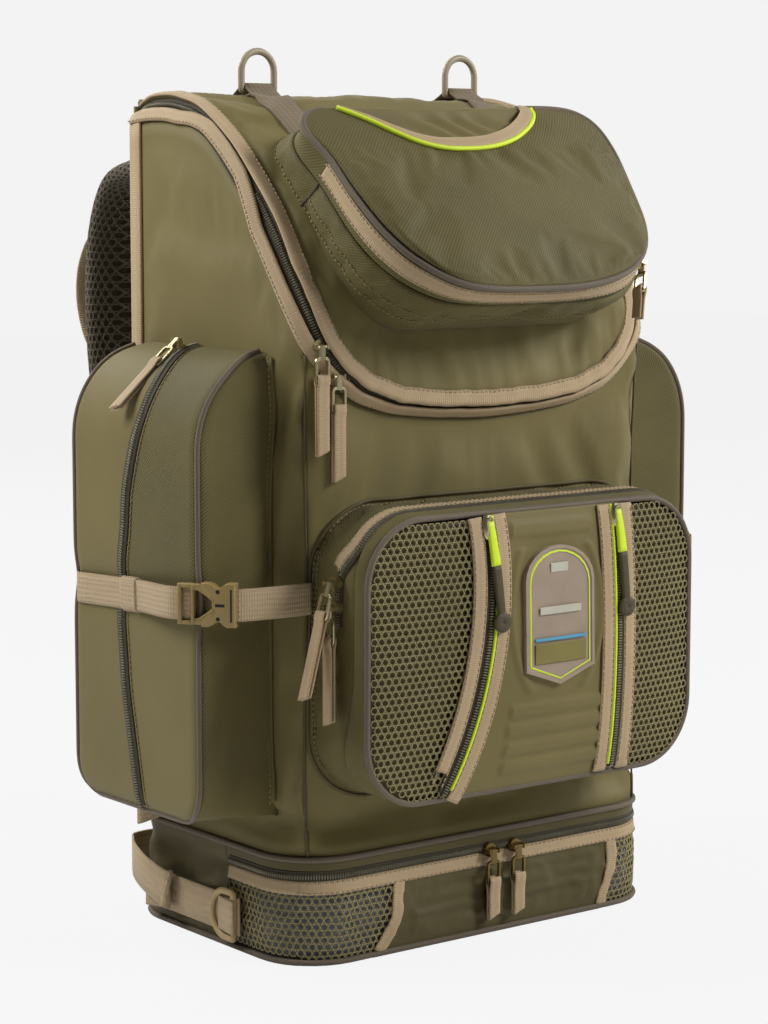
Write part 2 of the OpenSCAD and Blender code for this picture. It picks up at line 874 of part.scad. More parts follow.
// Curved slot through the face of the lid pocket
module lid_pocket_slot() {
    on_slope() in_xy(lid_pocket_out - 2*pocket_t, lid_pocket_out + eps) intersection() {
        translate([0, slot_t + slot_r]) difference() {
            circle(r = slot_r, $fn = 120);
            circle(r = slot_r - slot_gap, $fn = 120);
        }
        translate([-slot_w/2, slot_t - eps]) square([slot_w, slot_gap + slot_sag + 2*eps]);
    }
}

module lid_pocket_cover() {
    color(olive) difference() {
        intersection() {
            lid_pocket_prism(0);
            slope_layer(lid_zip_h + fit, lid_pocket_out);
        }
        intersection() {
            lid_pocket_prism(pocket_t);
            slope_layer(-lid_pocket_w, lid_pocket_out - pocket_t);
        }
        lid_pocket_slot();
    }
}

module lid_straps() {
    color(tan) for (side = [-1, 1]) flip(side) translate([top_ring_x, 0, 0]) difference() {
        union() {
            intersection() {
                in_yz(-web_w/2, web_w/2) polygon(concat(lid_path(-web_t), reverse(lid_path(0))));
                box([-web_w, lid_strap_y, lid_brow], [web_w, top_ring_y + web_w, pack_h + web_w]);
            }
            translate([0, top_ring_y, top_ring_z]) rotate([0, 90, 0])
                cylinder(r = loop_r, h = web_w, center = true);
        }
        translate([0, top_ring_y, top_ring_z]) rotate([0, 90, 0])
            cylinder(r = loop_bore, h = 2*web_w, center = true);
    }
}

// A ring with a straight bar along x and its bow towards +y
module d_ring(w, h) {
    leg = h - w/2;
    rotate([0, 90, 0]) cylinder(r = wire_r, h = w, center = true);
    for (side = [-1, 1]) {
        translate([side*w/2, 0, 0]) sphere(r = wire_r);
        translate([side*w/2, 0, 0]) rotate([-90, 0, 0]) cylinder(r = wire_r, h = leg);
    }
    translate([0, leg, 0]) rotate_extrude(angle = 180) translate([w/2, 0]) circle(r = wire_r);
}

module ring_top(side) {
    color(khaki) translate([side*top_ring_x, top_ring_y, top_ring_z]) rotate([90, 0, 0])
        d_ring(ring_w, ring_h);
}

module ring_top_left() {
    ring_top(-1);
}

module ring_top_right() {
    ring_top(1);
}

module ring_base(side) {
    color(khaki) translate([side*base_ring_x, base_ring_y, base_strap_z]) rotate([0, -90, 0])
        d_ring(base_ring_w, base_ring_h);
}

module ring_base_left() {
    ring_base(-1);
}

module ring_base_right() {
    ring_base(1);
}

// A slider around the origin of its bar: x along the bar, y up, z out from the cloth
module slider() {
    cheek = bar_h + bar_r + lug_t/2;
    translate([0, 0, -bar_h - slider_t]) cylinder(d = slider_w, h = slider_t);
    for (side = [-1, 1]) {
        translate([side*(lug_x + lug_t/2) - lug_t/2, -bar_r - lug_t/2, -cheek + bar_r])
            cube([lug_t, 2*bar_r + lug_t, cheek + lug_t/2]);
    }
    rotate([0, 90, 0]) cylinder(r = bar_r, h = 2*(lug_x + lug_t), center = true);
}

// A metal tab that swings on the slider's bar, with a folded tape of length l
module pull(l) {
    half = tape_w/2;
    neck = knuckle_w/2;
    lap = 6;
    difference() {
        union() {
            rotate([0, 90, 0]) cylinder(r = knuckle_r, h = knuckle_w, center = true);
            translate([0, 0, -tab_t/2]) linear_extrude(tab_t)
                polygon([[-neck, 0], [-neck, -neck_l], [-half, -neck_l - neck], [-half, -tab_l],
                    [half, -tab_l], [half, -neck_l - neck], [neck, -neck_l], [neck, 0]]);
        }
        rotate([0, 90, 0]) cylinder(r = bar_r + fit, h = tape_w, center = true);
    }
    translate([0, 0, -tape_t/2]) linear_extrude(tape_t)
        polygon([[-half, lap - tab_l], [half, lap - tab_l], [half, lap - tab_l - l],
            [-half, lap - tab_l - l + half]]);
}

module on_front(p) {
    translate(p) rotate([90, 0, 0]) children();
}

module on_left(p) {
    translate(p) rotate([90, 0, -90]) children();
}

module on_right(p) {
    translate(p) rotate([90, 0, 90]) children();
}

module at_lid_corner(a) {
    on_front([-tongue_c.x + lid_track*cos(a), yf - bar_up, tongue_c.y + lid_track*sin(a)]) children();
}

module lid_slider_upper() {
    color(brass) at_lid_corner(upper_deg) slider();
}

module lid_pull_upper() {
    color(brass) at_lid_corner(upper_deg) pull(tape_lid);
}

module lid_slider_lower() {
    color(brass) at_lid_corner(lower_deg) slider();
}

module lid_pull_lower() {
    color(brass) at_lid_corner(lower_deg) pull(tape_lid - 2);
}

// Station on the lower right corner of the lid pocket, turned square to its wall
module at_lid_pocket() {
    y = lid_pocket_foot + lid_pocket_r;
    zip_y = y + lid_pocket_r*sin(lid_pocket_deg);
    level = (lid_zip_h - zip_y*sin(skew))/cos(skew) - slider_w*0.4;
    across_pocket() translate([lid_pocket_w/2 - lid_pocket_r, y, level]) rotate([0, 0, lid_pocket_deg])
        translate([lid_pocket_r + bar_up, 0, 0]) rotate([0, 90, 0]) children();
}

module lid_pocket_slider() {
    color(brass) at_lid_pocket() slider();
}

module lid_pocket_pull() {
    color(brass) at_lid_pocket() pull(tape_lid_pocket);
}

// Station on the crown of the right-hand side pocket, turned square to it
module at_side() {
    r = crown_r + bar_up;
    y = 10;
    on_right([crown_c.x + r*sin(side_slide_deg), y, crown_c.y + r*cos(side_slide_deg)])
        rotate([side_slide_deg - 90, 0, 0]) children();
}

module side_slider_left() {
    color(brass) flip(-1) at_side() slider();
}

module side_pull_left() {
    color(brass) flip(-1) at_side() rotate([side_lie, 0, 0]) pull(tape_side);
}

module side_slider_right() {
    color(brass) at_side() slider();
}

module side_pull_right() {
    color(brass) at_side() rotate([side_lie, 0, 0]) pull(tape_side);
}

module at_front_side(z) {
    on_left([-fx - bar_up, door_y0, z]) children();
}

module front_slider_upper() {
    color(brass) at_front_side(front_upper_z) slider();
}

module front_pull_upper() {
    color(brass) at_front_side(front_upper_z) rotate([-front_lie, 0, 0]) pull(tape_front);
}

module front_slider_lower() {
    color(brass) at_front_side(front_lower_z) slider();
}

module front_pull_lower() {
    color(brass) at_front_side(front_lower_z) pull(tape_front);
}

module at_base(x) {
    on_front([x, by - bar_up, rim_z - base_gap/2]) children();
}

module base_slider_left() {
    color(brass) at_base(base_left_x) slider();
}

module base_pull_left() {
    color(brass) at_base(base_left_x) pull(tape_base);
}

module base_slider_right() {
    color(brass) at_base(base_right_x) slider();
}

module base_pull_right() {
    color(brass) at_base(base_right_x) pull(tape_base);
}

// A slider with a moulded cord pull, for a mesh panel
module mesh_slider() {
    cord_w = 5;
    cord_l = 62;
    end_r = 5;
    translate([0, 0, fit - bar_h]) {
        cylinder(d = slider_w, h = slider_t);
        translate([-cord_w/2, -cord_l, slider_t/4]) cube([cord_w, cord_l, slider_t/2]);
        translate([0, -cord_l, slider_t/4 - fit]) cylinder(r = end_r, h = slider_t/2 + 2*fit);
    }
}

module mesh_slider_left() {
    color(lime) on_front([zip_top.x, door_y1 - bar_h, fz1 - slider_w]) mesh_slider();
}

module mesh_slider_right() {
    color(lime) on_front([zip_right, door_y1 - bar_h, fz1 - slider_w]) mesh_slider();
}

base_board();
base_wall();
base_rim();
divider_floor();
front_panel();
side_panel_left();
side_panel_right();
back_panel();
frame_sheet();
back_pads();
mouth_zip();
side_pocket_left_gusset();
side_pocket_left_face();
side_pocket_right_gusset();
side_pocket_right_face();
front_pocket_gusset();
compression_straps();
buckle_sockets();
shoulder_strap_left();
shoulder_strap_right();
shoulder_webbing();
haul_handle();
base_straps();
buckle_clip_left();
buckle_clip_right();
strap_adjuster_left();
strap_adjuster_right();
lid_panel();
lid_pocket_wall();
lid_straps();
lid_pocket_cover();
ring_top_left();
ring_top_right();
ring_base_left();
ring_base_right();
front_pocket_door();
front_pocket_mesh();
badge();
base_flap_panel();
base_flap_mesh();
lid_slider_upper();
lid_pull_upper();
lid_slider_lower();
lid_pull_lower();
lid_pocket_slider();
lid_pocket_pull();
side_slider_left();
side_pull_left();
side_slider_right();
side_pull_right();
front_slider_upper();
front_pull_upper();
front_slider_lower();
front_pull_lower();
base_slider_left();
base_pull_left();
base_slider_right();
base_pull_right();
mesh_slider_left();
mesh_slider_right();
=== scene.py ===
# %% [markdown]
# # Tackle backpack
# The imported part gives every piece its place: panels, zips, rings and buckles are already there as plain
# solids. This lesson dresses them. Cloth is made from grids that are moved onto the shape of each panel and
# then left to settle as cloth, and every tape, piping, zip and stitch is laid along a line on that cloth.

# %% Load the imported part
import math
import bmesh
import bpy
import numpy as np
from mathutils import Matrix, Vector


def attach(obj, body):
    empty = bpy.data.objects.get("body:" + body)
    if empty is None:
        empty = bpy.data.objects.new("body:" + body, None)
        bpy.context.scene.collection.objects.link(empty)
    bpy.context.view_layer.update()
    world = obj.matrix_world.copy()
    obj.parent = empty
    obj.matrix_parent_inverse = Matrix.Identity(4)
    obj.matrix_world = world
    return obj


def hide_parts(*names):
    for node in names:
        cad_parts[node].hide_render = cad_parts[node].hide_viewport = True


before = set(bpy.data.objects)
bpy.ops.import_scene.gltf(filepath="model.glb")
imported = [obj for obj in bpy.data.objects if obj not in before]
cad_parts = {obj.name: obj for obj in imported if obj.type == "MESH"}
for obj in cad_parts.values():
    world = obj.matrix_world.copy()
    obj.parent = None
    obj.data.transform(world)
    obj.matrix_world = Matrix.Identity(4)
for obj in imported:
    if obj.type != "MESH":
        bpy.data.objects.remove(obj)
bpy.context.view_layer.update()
mm = 0.001

# %% [markdown]
# ## Shared sizes
# Some sizes are used by many pieces, so they stand here once, in millimetres and in the frame of the packed
# part. The steps say into how many stretches a line is divided: more of them give a smoother edge.

# %% Shared sizes
base_top = 70
body_half_depth = 92.5
strap_z = 232
slope_y, slope_z, slope_along, slope_rise = -39.65, 479, 0.69, 0.7237
door_half, door_middle, door_face, door_crown = 134, 197, -147.2, 10.5
badge_x, badge_z = 12, 171.8
body_steps, pocket_steps, door_steps, base_steps = 160, 160, 200, 320
both_sides = (("left", -1), ("right", 1))
print("the body stands on the base at", base_top, "mm and the side straps run at", strap_z, "mm")

# %% [markdown]
# ## Camera and light
# The camera stands where the photograph was taken, low and to the left of the pack, with a long lens so that
# the sides stay nearly parallel. Four large soft lamps give the even light of a studio table. The floor and
# the world look pale to the camera alone, so the pale ground throws no extra light on the cloth.

# %% Camera
turn, tilt = math.radians(-37.5), math.radians(7.0)
towards = Vector((math.sin(turn) * math.cos(tilt), -math.cos(turn) * math.cos(tilt), math.sin(tilt)))
camera = bpy.data.objects.new("camera", bpy.data.cameras.new("camera"))
camera.location = (-1.094, -1.419, 0.486)
camera.rotation_euler = (-towards).to_track_quat("-Z", "Y").to_euler()
camera.data.lens = 94.9
camera.data.sensor_width = 36
bpy.context.scene.collection.objects.link(camera)
bpy.context.scene.camera = camera
bpy.context.scene.view_settings.view_transform = "Standard"
print("camera with a lens of", round(camera.data.lens), "mm")


# %% Lamps
def lamp(name, place, aim, size, power):
    light = bpy.data.lights.new(name, "AREA")
    light.size, light.energy = size, power
    obj = bpy.data.objects.new(name, light)
    obj.location = place
    obj.rotation_euler = (Vector(aim) - Vector(place)).to_track_quat("-Z", "Y").to_euler()
    bpy.context.scene.collection.objects.link(obj)


lamp("key", (-0.85, 0.5, 1.2), (0, 0, 0.35), 0.7, 16)
lamp("front", (1.15, -1.65, 1.6), (0, 0, 0.38), 0.7, 38)
lamp("right", (2.2, -0.3, 1.4), (0, 0, 0.4), 1.2, 20)
lamp("rear", (0.4, 2.3, 1.5), (0, 0, 0.3), 1.4, 24)
print("soft lamps:", [light.name for light in bpy.data.lights])


# %% Pale ground
def tree(name):
    made = bpy.data.materials.new(name)
    made.use_nodes = True
    made.node_tree.nodes.clear()
    return made, made.node_tree.nodes, made.node_tree.links


world = bpy.data.worlds.new("studio")
bpy.context.scene.world = world
world.use_nodes = True
nodes, links = world.node_tree.nodes, world.node_tree.links
seen = nodes.new("ShaderNodeLightPath")
glance = nodes.new("ShaderNodeMath")
glance.operation = "MAXIMUM"
links.new(seen.outputs["Is Camera Ray"], glance.inputs[0])
links.new(seen.outputs["Is Transmission Ray"], glance.inputs[1])
pale = nodes.new("ShaderNodeBackground")
pale.inputs["Color"].default_value = (0.896, 0.896, 0.896, 1)
soft = nodes.new("ShaderNodeBackground")
soft.inputs["Color"].default_value = (1, 1, 1, 1)
soft.inputs["Strength"].default_value = 0.11
either = nodes.new("ShaderNodeMixShader")
links.new(glance.outputs[0], either.inputs[0])
links.new(soft.outputs[0], either.inputs[1])
links.new(pale.outputs[0], either.inputs[2])
links.new(either.outputs[0], nodes["World Output"].inputs["Surface"])

ground, nodes, links = tree("pale floor")
seen = nodes.new("ShaderNodeLightPath")
part = nodes.new("ShaderNodeMath")
part.operation = "MULTIPLY"
part.inputs[1].default_value = 0.95
links.new(seen.outputs["Is Camera Ray"], part.inputs[0])
dull = nodes.new("ShaderNodeBsdfDiffuse")
dull.inputs["Color"].default_value = (0.82, 0.82, 0.82, 1)
glow = nodes.new("ShaderNodeEmission")
glow.inputs["Color"].default_value = (0.928, 0.928, 0.928, 1)
both = nodes.new("ShaderNodeMixShader")
out = nodes.new("ShaderNodeOutputMaterial")
links.new(part.outputs[0], both.inputs[0])
links.new(dull.outputs[0], both.inputs[1])
links.new(glow.outputs[0], both.inputs[2])
links.new(both.outputs[0], out.inputs["Surface"])
bm = bmesh.new()
bmesh.ops.create_grid(bm, x_segments=8, y_segments=8, size=6)
mesh = bpy.data.meshes.new("floor")
bm.to_mesh(mesh)
bm.free()
mesh.materials.append(ground)
floor = bpy.data.objects.new("floor", mesh)
bpy.context.scene.collection.objects.link(floor)
print("pale world and floor")

# %% [markdown]
# ## Finishes
# Coated pack cloth is a fine plain weave, nearly matt. The pocket fronts are a heavier cloth with a diagonal
# rib. Both read the panel's own UV map, which is in metres, so the weave keeps its size and follows the
# panel. A slow noise varies the colour a little, as dye and handling do, and the weave also drives the bump.


# %% Colours and nodes
def linear(r, g, b):
    part = [c / 255 for c in (r, g, b)]
    return tuple(c / 12.92 if c < 0.04045 else ((c + 0.055) / 1.055) ** 2.4 for c in part) + (1,)


def node(nodes, kind, **values):
    made = nodes.new(kind)
    for key, value in values.items():
        if hasattr(made, key):
            setattr(made, key, value)
        else:
            made.inputs[key].default_value = value
    return made


print("mid grey as Blender wants it:", [round(c, 3) for c in linear(128, 128, 128)])


# %% A woven material
def woven(name, light, dark, across=1.0, along=1.0, slant=0.0, depth=0.25, contrast=0.5):
    """Cloth whose threads repeat every across and along millimetres. slant makes a diagonal rib of them."""
    made, nodes, links = tree(name)
    out = node(nodes, "ShaderNodeOutputMaterial")
    shade = node(nodes, "ShaderNodeBsdfPrincipled", Roughness=0.62)
    shade.inputs["Sheen Weight"].default_value = 0.08
    shade.inputs["Specular IOR Level"].default_value = 0.32
    links.new(shade.outputs[0], out.inputs["Surface"])
    where = node(nodes, "ShaderNodeUVMap", uv_map="cloth")
    turned = node(nodes, "ShaderNodeMapping")
    turned.inputs["Rotation"].default_value = (0, 0, math.radians(slant))
    links.new(where.outputs[0], turned.inputs["Vector"])
    waves_per_metre = 314.16
    rib = []
    for direction, pitch in (("X", across), ("Y", along)):
        wave = node(nodes, "ShaderNodeTexWave", bands_direction=direction, wave_profile="SIN", Distortion=0.6)
        wave.inputs["Scale"].default_value = waves_per_metre / pitch
        wave.inputs["Detail"].default_value = 1
        wave.inputs["Detail Scale"].default_value = 0.4
        links.new(turned.outputs[0], wave.inputs["Vector"])
        rib.append(wave)
    weave = node(nodes, "ShaderNodeMath", operation="MULTIPLY")
    links.new(rib[0].outputs["Fac"], weave.inputs[0])
    links.new(rib[1].outputs["Fac"], weave.inputs[1])
    place = node(nodes, "ShaderNodeTexCoord")
    blotch = node(nodes, "ShaderNodeTexNoise", Scale=14.0, Detail=4.0)
    links.new(place.outputs["Object"], blotch.inputs["Vector"])
    fibre = node(nodes, "ShaderNodeTexNoise", Scale=900.0, Detail=2.0)
    links.new(place.outputs["Object"], fibre.inputs["Vector"])
    tone = node(nodes, "ShaderNodeMath", operation="MULTIPLY_ADD")
    tone.inputs[1].default_value = contrast
    links.new(weave.outputs[0], tone.inputs[0])
    slow = node(nodes, "ShaderNodeMath", operation="MULTIPLY_ADD")
    slow.inputs[1].default_value = 0.55
    slow.inputs[2].default_value = (1 - contrast) * 0.5 - 0.12
    links.new(blotch.outputs["Fac"], slow.inputs[0])
    links.new(slow.outputs[0], tone.inputs[2])
    ramp = node(nodes, "ShaderNodeMix", data_type="RGBA")
    ramp.inputs[6].default_value = linear(*dark)
    ramp.inputs[7].default_value = linear(*light)
    links.new(tone.outputs[0], ramp.inputs[0])
    links.new(ramp.outputs[2], shade.inputs["Base Color"])
    relief = node(nodes, "ShaderNodeMath", operation="MULTIPLY_ADD")
    relief.inputs[1].default_value = 0.35
    links.new(fibre.outputs["Fac"], relief.inputs[0])
    links.new(weave.outputs[0], relief.inputs[2])
    bump = node(nodes, "ShaderNodeBump", Strength=depth)
    bump.inputs["Distance"].default_value = 0.0006
    links.new(relief.outputs[0], bump.inputs["Height"])
    links.new(bump.outputs[0], shade.inputs["Normal"])
    return made


# %% Woven finishes
pack_cloth = woven("olive pack cloth", (128, 116, 69), (90, 80, 43), 0.9, 0.9, depth=0.12, contrast=0.25)
twill = woven("olive ribbed cloth", (124, 113, 60), (60, 53, 24), 1.6, slant=46, depth=0.5, contrast=0.75)
lining = woven("dark lining", (58, 51, 37), (32, 28, 20), 1.2, 1.2, depth=0.2)
grosgrain = woven("tan grosgrain", (196, 172, 136), (154, 131, 99), 6.0, 1.5, depth=0.45, contrast=0.4)
webbing_tan = woven("tan webbing", (204, 181, 146), (152, 130, 98), 2.6, 1.7, depth=0.8, contrast=0.5)
cord_brown = woven("brown piping", (122, 109, 92), (80, 70, 58), 3.0, 0.9, depth=0.5, contrast=0.4)
thread_tan = woven("tan thread", (200, 180, 146), (146, 126, 96), 0.8, 0.8, depth=0.3)
thread_olive = woven("olive thread", (158, 146, 92), (112, 101, 58), 0.8, 0.8, depth=0.3)
zip_tape = woven("zip tape", (70, 63, 42), (42, 37, 24), 3.0, 1.0, depth=0.4)
webbing_brown = woven("brown webbing", (138, 122, 98), (98, 86, 67), 3.2, 1.7, depth=0.6, contrast=0.4)
# Darker than the pack cloth. Part of this is the base's own darker cloth and part is painted shade, because
# the low base gets less light. The same finish dresses the corner cords, the seat cord and the lining behind
# the door net.
dark_olive_and_shade = woven("dark olive cloth and painted shade", (96, 86, 50), (66, 58, 30), 0.9, 0.9, depth=0.12, contrast=0.25)
grey_lining = woven("grey lining", (150, 150, 152), (88, 88, 92), 5.0, 3.0, depth=0.3, contrast=0.3)
strap_net = woven("brown spacer net", (112, 102, 84), (74, 66, 54), 0.9, 0.9, depth=0.4, contrast=0.35)
net_cord = woven("olive net", (164, 152, 106), (114, 104, 66), 0.7, 0.7, depth=0.4, contrast=0.35)
print("woven finishes:", [m.name for m in bpy.data.materials if "cloth" in m.name])

# %% [markdown]
# ## Moulded and metal finishes
# Buckles and rings are moulded in khaki plastic with a faint orange-peel skin, the sliders are pale plated
# zinc that has rubbed brighter in places, and the trims are lime and brown rubber. All of them read Object
# coordinates, because these pieces have no cloth direction to follow.


# %% Hard finishes
def moulded(name, light, dark, rough, metal=0.0):
    made, nodes, links = tree(name)
    out = node(nodes, "ShaderNodeOutputMaterial")
    shade = node(nodes, "ShaderNodeBsdfPrincipled", Metallic=metal)
    links.new(shade.outputs[0], out.inputs["Surface"])
    place = node(nodes, "ShaderNodeTexCoord")
    patch = node(nodes, "ShaderNodeTexNoise", Scale=60.0, Detail=5.0)
    skin = node(nodes, "ShaderNodeTexNoise", Scale=1560.0, Detail=2.0)
    for texture in (patch, skin):
        links.new(place.outputs["Object"], texture.inputs["Vector"])
    mix = node(nodes, "ShaderNodeMix", data_type="RGBA")
    mix.inputs[6].default_value = linear(*dark)
    mix.inputs[7].default_value = linear(*light)
    links.new(patch.outputs["Fac"], mix.inputs[0])
    links.new(mix.outputs[2], shade.inputs["Base Color"])
    wear = node(nodes, "ShaderNodeMapRange")
    wear.inputs["To Min"].default_value = rough - 0.1
    wear.inputs["To Max"].default_value = rough + 0.12
    links.new(patch.outputs["Fac"], wear.inputs["Value"])
    links.new(wear.outputs["Result"], shade.inputs["Roughness"])
    bump = node(nodes, "ShaderNodeBump", Strength=0.15)
    bump.inputs["Distance"].default_value = 0.0003
    links.new(skin.outputs["Fac"], bump.inputs["Height"])
    links.new(bump.outputs[0], shade.inputs["Normal"])
    return made


khaki_plastic = moulded("khaki plastic", (162, 138, 84), (136, 114, 66), 0.42)
tan_plastic = moulded("tan plastic", (176, 164, 140), (150, 137, 112), 0.4)
sand_plastic = moulded("sand plastic", (190, 164, 116), (164, 139, 94), 0.42)
old_brass = moulded("old brass", (150, 128, 82), (104, 86, 50), 0.36, metal=1.0)
pale_brass = moulded("pale brass", (214, 204, 168), (176, 164, 122), 0.3, metal=1.0)
coil_nylon = moulded("zip coil", (134, 127, 104), (80, 74, 58), 0.4)
lime_rubber = moulded("lime rubber", (220, 244, 44), (202, 228, 30), 0.5)
olive_rubber = moulded("olive rubber", (80, 71, 38), (58, 51, 26), 0.6)
badge_rubber = moulded("brown rubber", (166, 148, 128), (144, 127, 108), 0.55)
badge_pale = moulded("pale rubber", (196, 194, 178), (176, 172, 154), 0.55)
# Painted shade: the dark colour of the buckle holes and slots, which are not cut.
hole_shade_paint = moulded("painted hole shade", (34, 29, 20), (22, 18, 12), 0.7)
badge_olive = moulded("olive band", (134, 124, 62), (112, 102, 48), 0.55)
badge_blue = moulded("blue line", (92, 168, 200), (74, 148, 182), 0.5)
board_black = moulded("black board", (40, 40, 38), (28, 28, 27), 0.6)
print("hard finishes ready")

# %% [markdown]
# ## Cloth panels as grids
# A sewn panel could be pushed about by hand, but a grid that is moved onto a written surface keeps even
# squares, which is what cloth needs in order to fold well. `Skin` holds such a grid in millimetres and can
# say where any point of the panel is after it has settled, so that trims can be laid on it later.


# %% Lines
def even(points, count, ring=False):
    """count points evenly spaced on the line through the given points."""
    p = np.array(points, float)
    p = np.vstack([p, p[:1]]) if ring else p
    run = np.r_[0, np.cumsum(np.linalg.norm(np.diff(p[:, :3], axis=0), axis=1))]
    want = np.linspace(0, run[-1], count, endpoint=not ring)
    return np.column_stack([np.interp(want, run, p[:, k]) for k in range(p.shape[1])])


def curve(points, count):
    """count even points on a smooth line through the given points."""
    p = np.array(points, float)
    p = np.vstack([2 * p[0] - p[1], p, 2 * p[-1] - p[-2]])
    t = np.linspace(0, 1, 16, endpoint=False)[:, None]
    fine = []
    for a, b, c, d in zip(p, p[1:], p[2:], p[3:]):
        fine.append(b + 0.5 * t * (c - a + t * (2 * a - 5 * b + 4 * c - d + t * (3 * (b - c) + d - a))))
    return even(np.vstack(fine + [p[-2:-1]]), count)


def rounded(x0, x1, y0, y1, radii, count):
    """An anticlockwise rounded rectangle that starts in the middle of its lower side."""
    corners = [(x1, y0, -90), (x1, y1, 0), (x0, y1, 90), (x0, y0, 180)]
    loop = [((x0 + x1) / 2, y0)]
    for (x, y, start), r in zip(corners, radii):
        cx, cy = x - math.copysign(r, x - (x0 + x1) / 2), y - math.copysign(r, y - (y0 + y1) / 2)
        for step in range(13):
            a = math.radians(start + 7.5 * step)
            loop.append((cx + r * math.cos(a), cy + r * math.sin(a)))
    return even(loop, count, ring=True)


def length_of(points):
    return np.linalg.norm(np.diff(points, axis=0), axis=1).sum()


def unit(v):
    return v / np.maximum(np.linalg.norm(v, axis=-1, keepdims=True), 1e-9)


print("a curve over a step of 3 by 4 mm is", round(length_of(curve([(0, 0), (3, 4)], 9)), 3), "mm long")


# %% Skins
class Skin:
    """A panel as a grid of points in millimetres: columns run along u and rows along v, each from 0 to 1."""

    def __init__(self, points, ring=False):
        self.points, self.ring = np.array(points, float), ring

    def sizes(self):
        return [np.linalg.norm(np.diff(self.points, axis=k), axis=2).sum(k).mean() for k in (1, 0)]

    def normals(self):
        p = self.points
        along = np.gradient(p, axis=1)
        if self.ring:
            along[:, 0] = along[:, -1] = p[:, 1] - p[:, -2]
        return unit(np.cross(along, np.gradient(p, axis=0)))

    def at(self, uv, lift=0.0):
        """Points and normals at a list of (u, v), raised by lift."""
        uv = np.array(uv, float)
        rows, columns = self.points.shape[:2]
        both = np.dstack([self.points, self.normals()])
        x, y = np.clip(uv[:, 0], 0, 1) * (columns - 1), np.clip(uv[:, 1], 0, 1) * (rows - 1)
        i, j = np.minimum(x.astype(int), columns - 2), np.minimum(y.astype(int), rows - 2)
        fx, fy = (x - i)[:, None], (y - j)[:, None]
        low = both[j, i] * (1 - fx) + both[j, i + 1] * fx
        high = both[j + 1, i] * (1 - fx) + both[j + 1, i + 1] * fx
        found = low * (1 - fy) + high * fy
        normal = unit(found[:, 3:])
        return found[:, :3] + normal * lift, normal

    def lay(self, bm, keep=None, index=None):
        """Adds the panel to a bmesh. keep(u, v) picks its faces and index(u, v) their finish."""
        rows, columns = (n - 1 for n in self.points.shape[:2])
        wide, tall = self.sizes()
        layer = bm.loops.layers.uv.get("cloth") or bm.loops.layers.uv.new("cloth")
        verts = bmesh.ops.create_grid(bm, x_segments=columns, y_segments=rows, size=0.5)["verts"]
        faces = list({f for v in verts for f in v.link_faces})
        drop = []
        for face in faces:
            middle = face.calc_center_median()
            for loop in face.loops:
                co = loop.vert.co
                loop[layer].uv = ((co.x + 0.5) * wide * mm, (co.y + 0.5) * tall * mm)
            if keep and not keep(middle.x + 0.5, middle.y + 0.5):
                drop.append(face)
            elif index:
                face.material_index = index(middle.x + 0.5, middle.y + 0.5)
        for v in verts:
            i, j = round((v.co.x + 0.5) * columns), round((v.co.y + 0.5) * rows)
            v.co = Vector(self.points[j, i]) * mm
        if drop:
            bmesh.ops.delete(bm, geom=drop, context="FACES")
        verts = [v for v in verts if v.is_valid]
        if self.ring:
            bmesh.ops.remove_doubles(bm, verts=verts, dist=1e-6)


def surface(columns, rows, place, ring=False):
    """A skin whose points are place(u, v)."""
    return Skin([[place(i / columns, j / rows) for i in range(columns + 1)] for j in range(rows + 1)], ring)


def patch(loop, corners, columns, rows):
    """A skin stretched across a closed line, between its four numbered corners."""
    n, runs = len(loop), []
    for a, b, count in zip(corners, corners[1:] + corners[:1], (columns, rows, columns, rows)):
        runs.append(even(loop[np.arange(a, b + (n if b < a else 0) + 1) % n], count + 1))
    low, right, high, left = runs[0], runs[1], runs[2][::-1], runs[3][::-1]
    u, v = np.linspace(0, 1, columns + 1)[None, :, None], np.linspace(0, 1, rows + 1)[:, None, None]
    flat = (1 - u) * (1 - v) * low[0] + u * (1 - v) * low[-1] + (1 - u) * v * high[0] + u * v * high[-1]
    return Skin((1 - v) * low + v * high + (1 - u) * left[:, None] + u * right[:, None] - flat)


print("a flat try-out skin measures", surface(4, 2, lambda u, v: (40 * u, 20 * v, 0)).sizes(), "mm")

# %% [markdown]
# ## From a bmesh to a piece of the pack
# Every piece is turned into an object here: it gets its finish, rides on the body that carries it, and hides
# the plain solids it stands for. Cloth gets its thickness from a Solidify modifier, on the inside. A trim
# is a piece that only follows lines, so it needs no more than its shape and those lines.


# %% Finished pieces
def make(bm, name, finish, body, nodes=(), thick=0.0, sharp=None):
    mesh = bpy.data.meshes.new(name)
    bm.to_mesh(mesh)
    bm.free()
    for one in finish if isinstance(finish, (list, tuple)) else [finish]:
        mesh.materials.append(one)
    mesh.shade_smooth()
    if sharp:
        mesh.set_sharp_from_angle(angle=math.radians(sharp))
    obj = bpy.data.objects.new(name, mesh)
    bpy.context.scene.collection.objects.link(obj)
    if thick:
        wall = obj.modifiers.new("Thickness", "SOLIDIFY")
        wall.thickness, wall.offset = thick * mm, -1
    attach(obj, body)
    if nodes:
        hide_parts(*nodes)
    print(f"{name}: {len(mesh.polygons)} faces on {body}")
    return obj


def join(bm, small):
    """Adds a finished small bmesh to a larger one."""
    mesh = bpy.data.meshes.new("small")
    small.to_mesh(mesh)
    small.free()
    bm.from_mesh(mesh)
    bpy.data.meshes.remove(mesh)


def trim(name, finish, body, slot, shape, *lines, **settings):
    """One piece of trim: a shape, such as a band or a row of stitches, laid along one or more lines."""
    bm = bmesh.new()
    for points, normals in lines:
        shape(bm, points, normals, **settings)
    make(bm, name, finish, body)


# %% [markdown]
# ## Letting the cloth settle
# Pack cloth is sewn down at its seams and a little too large in between, so it puffs and folds. The panel is
# given to Blender's cloth solver with its seams held, a little inside pressure and a small growth of the
# cloth itself. The movement is capped, so a panel never reaches its neighbours.


# %% Settle a panel
def seams(edge, low, high, free):
    """Holds a panel at its two side edges, below low and above high, and the rest of it only by free."""
    return lambda u, v: 1.0 if min(u, 1 - u) < edge or v < low or v > high else free


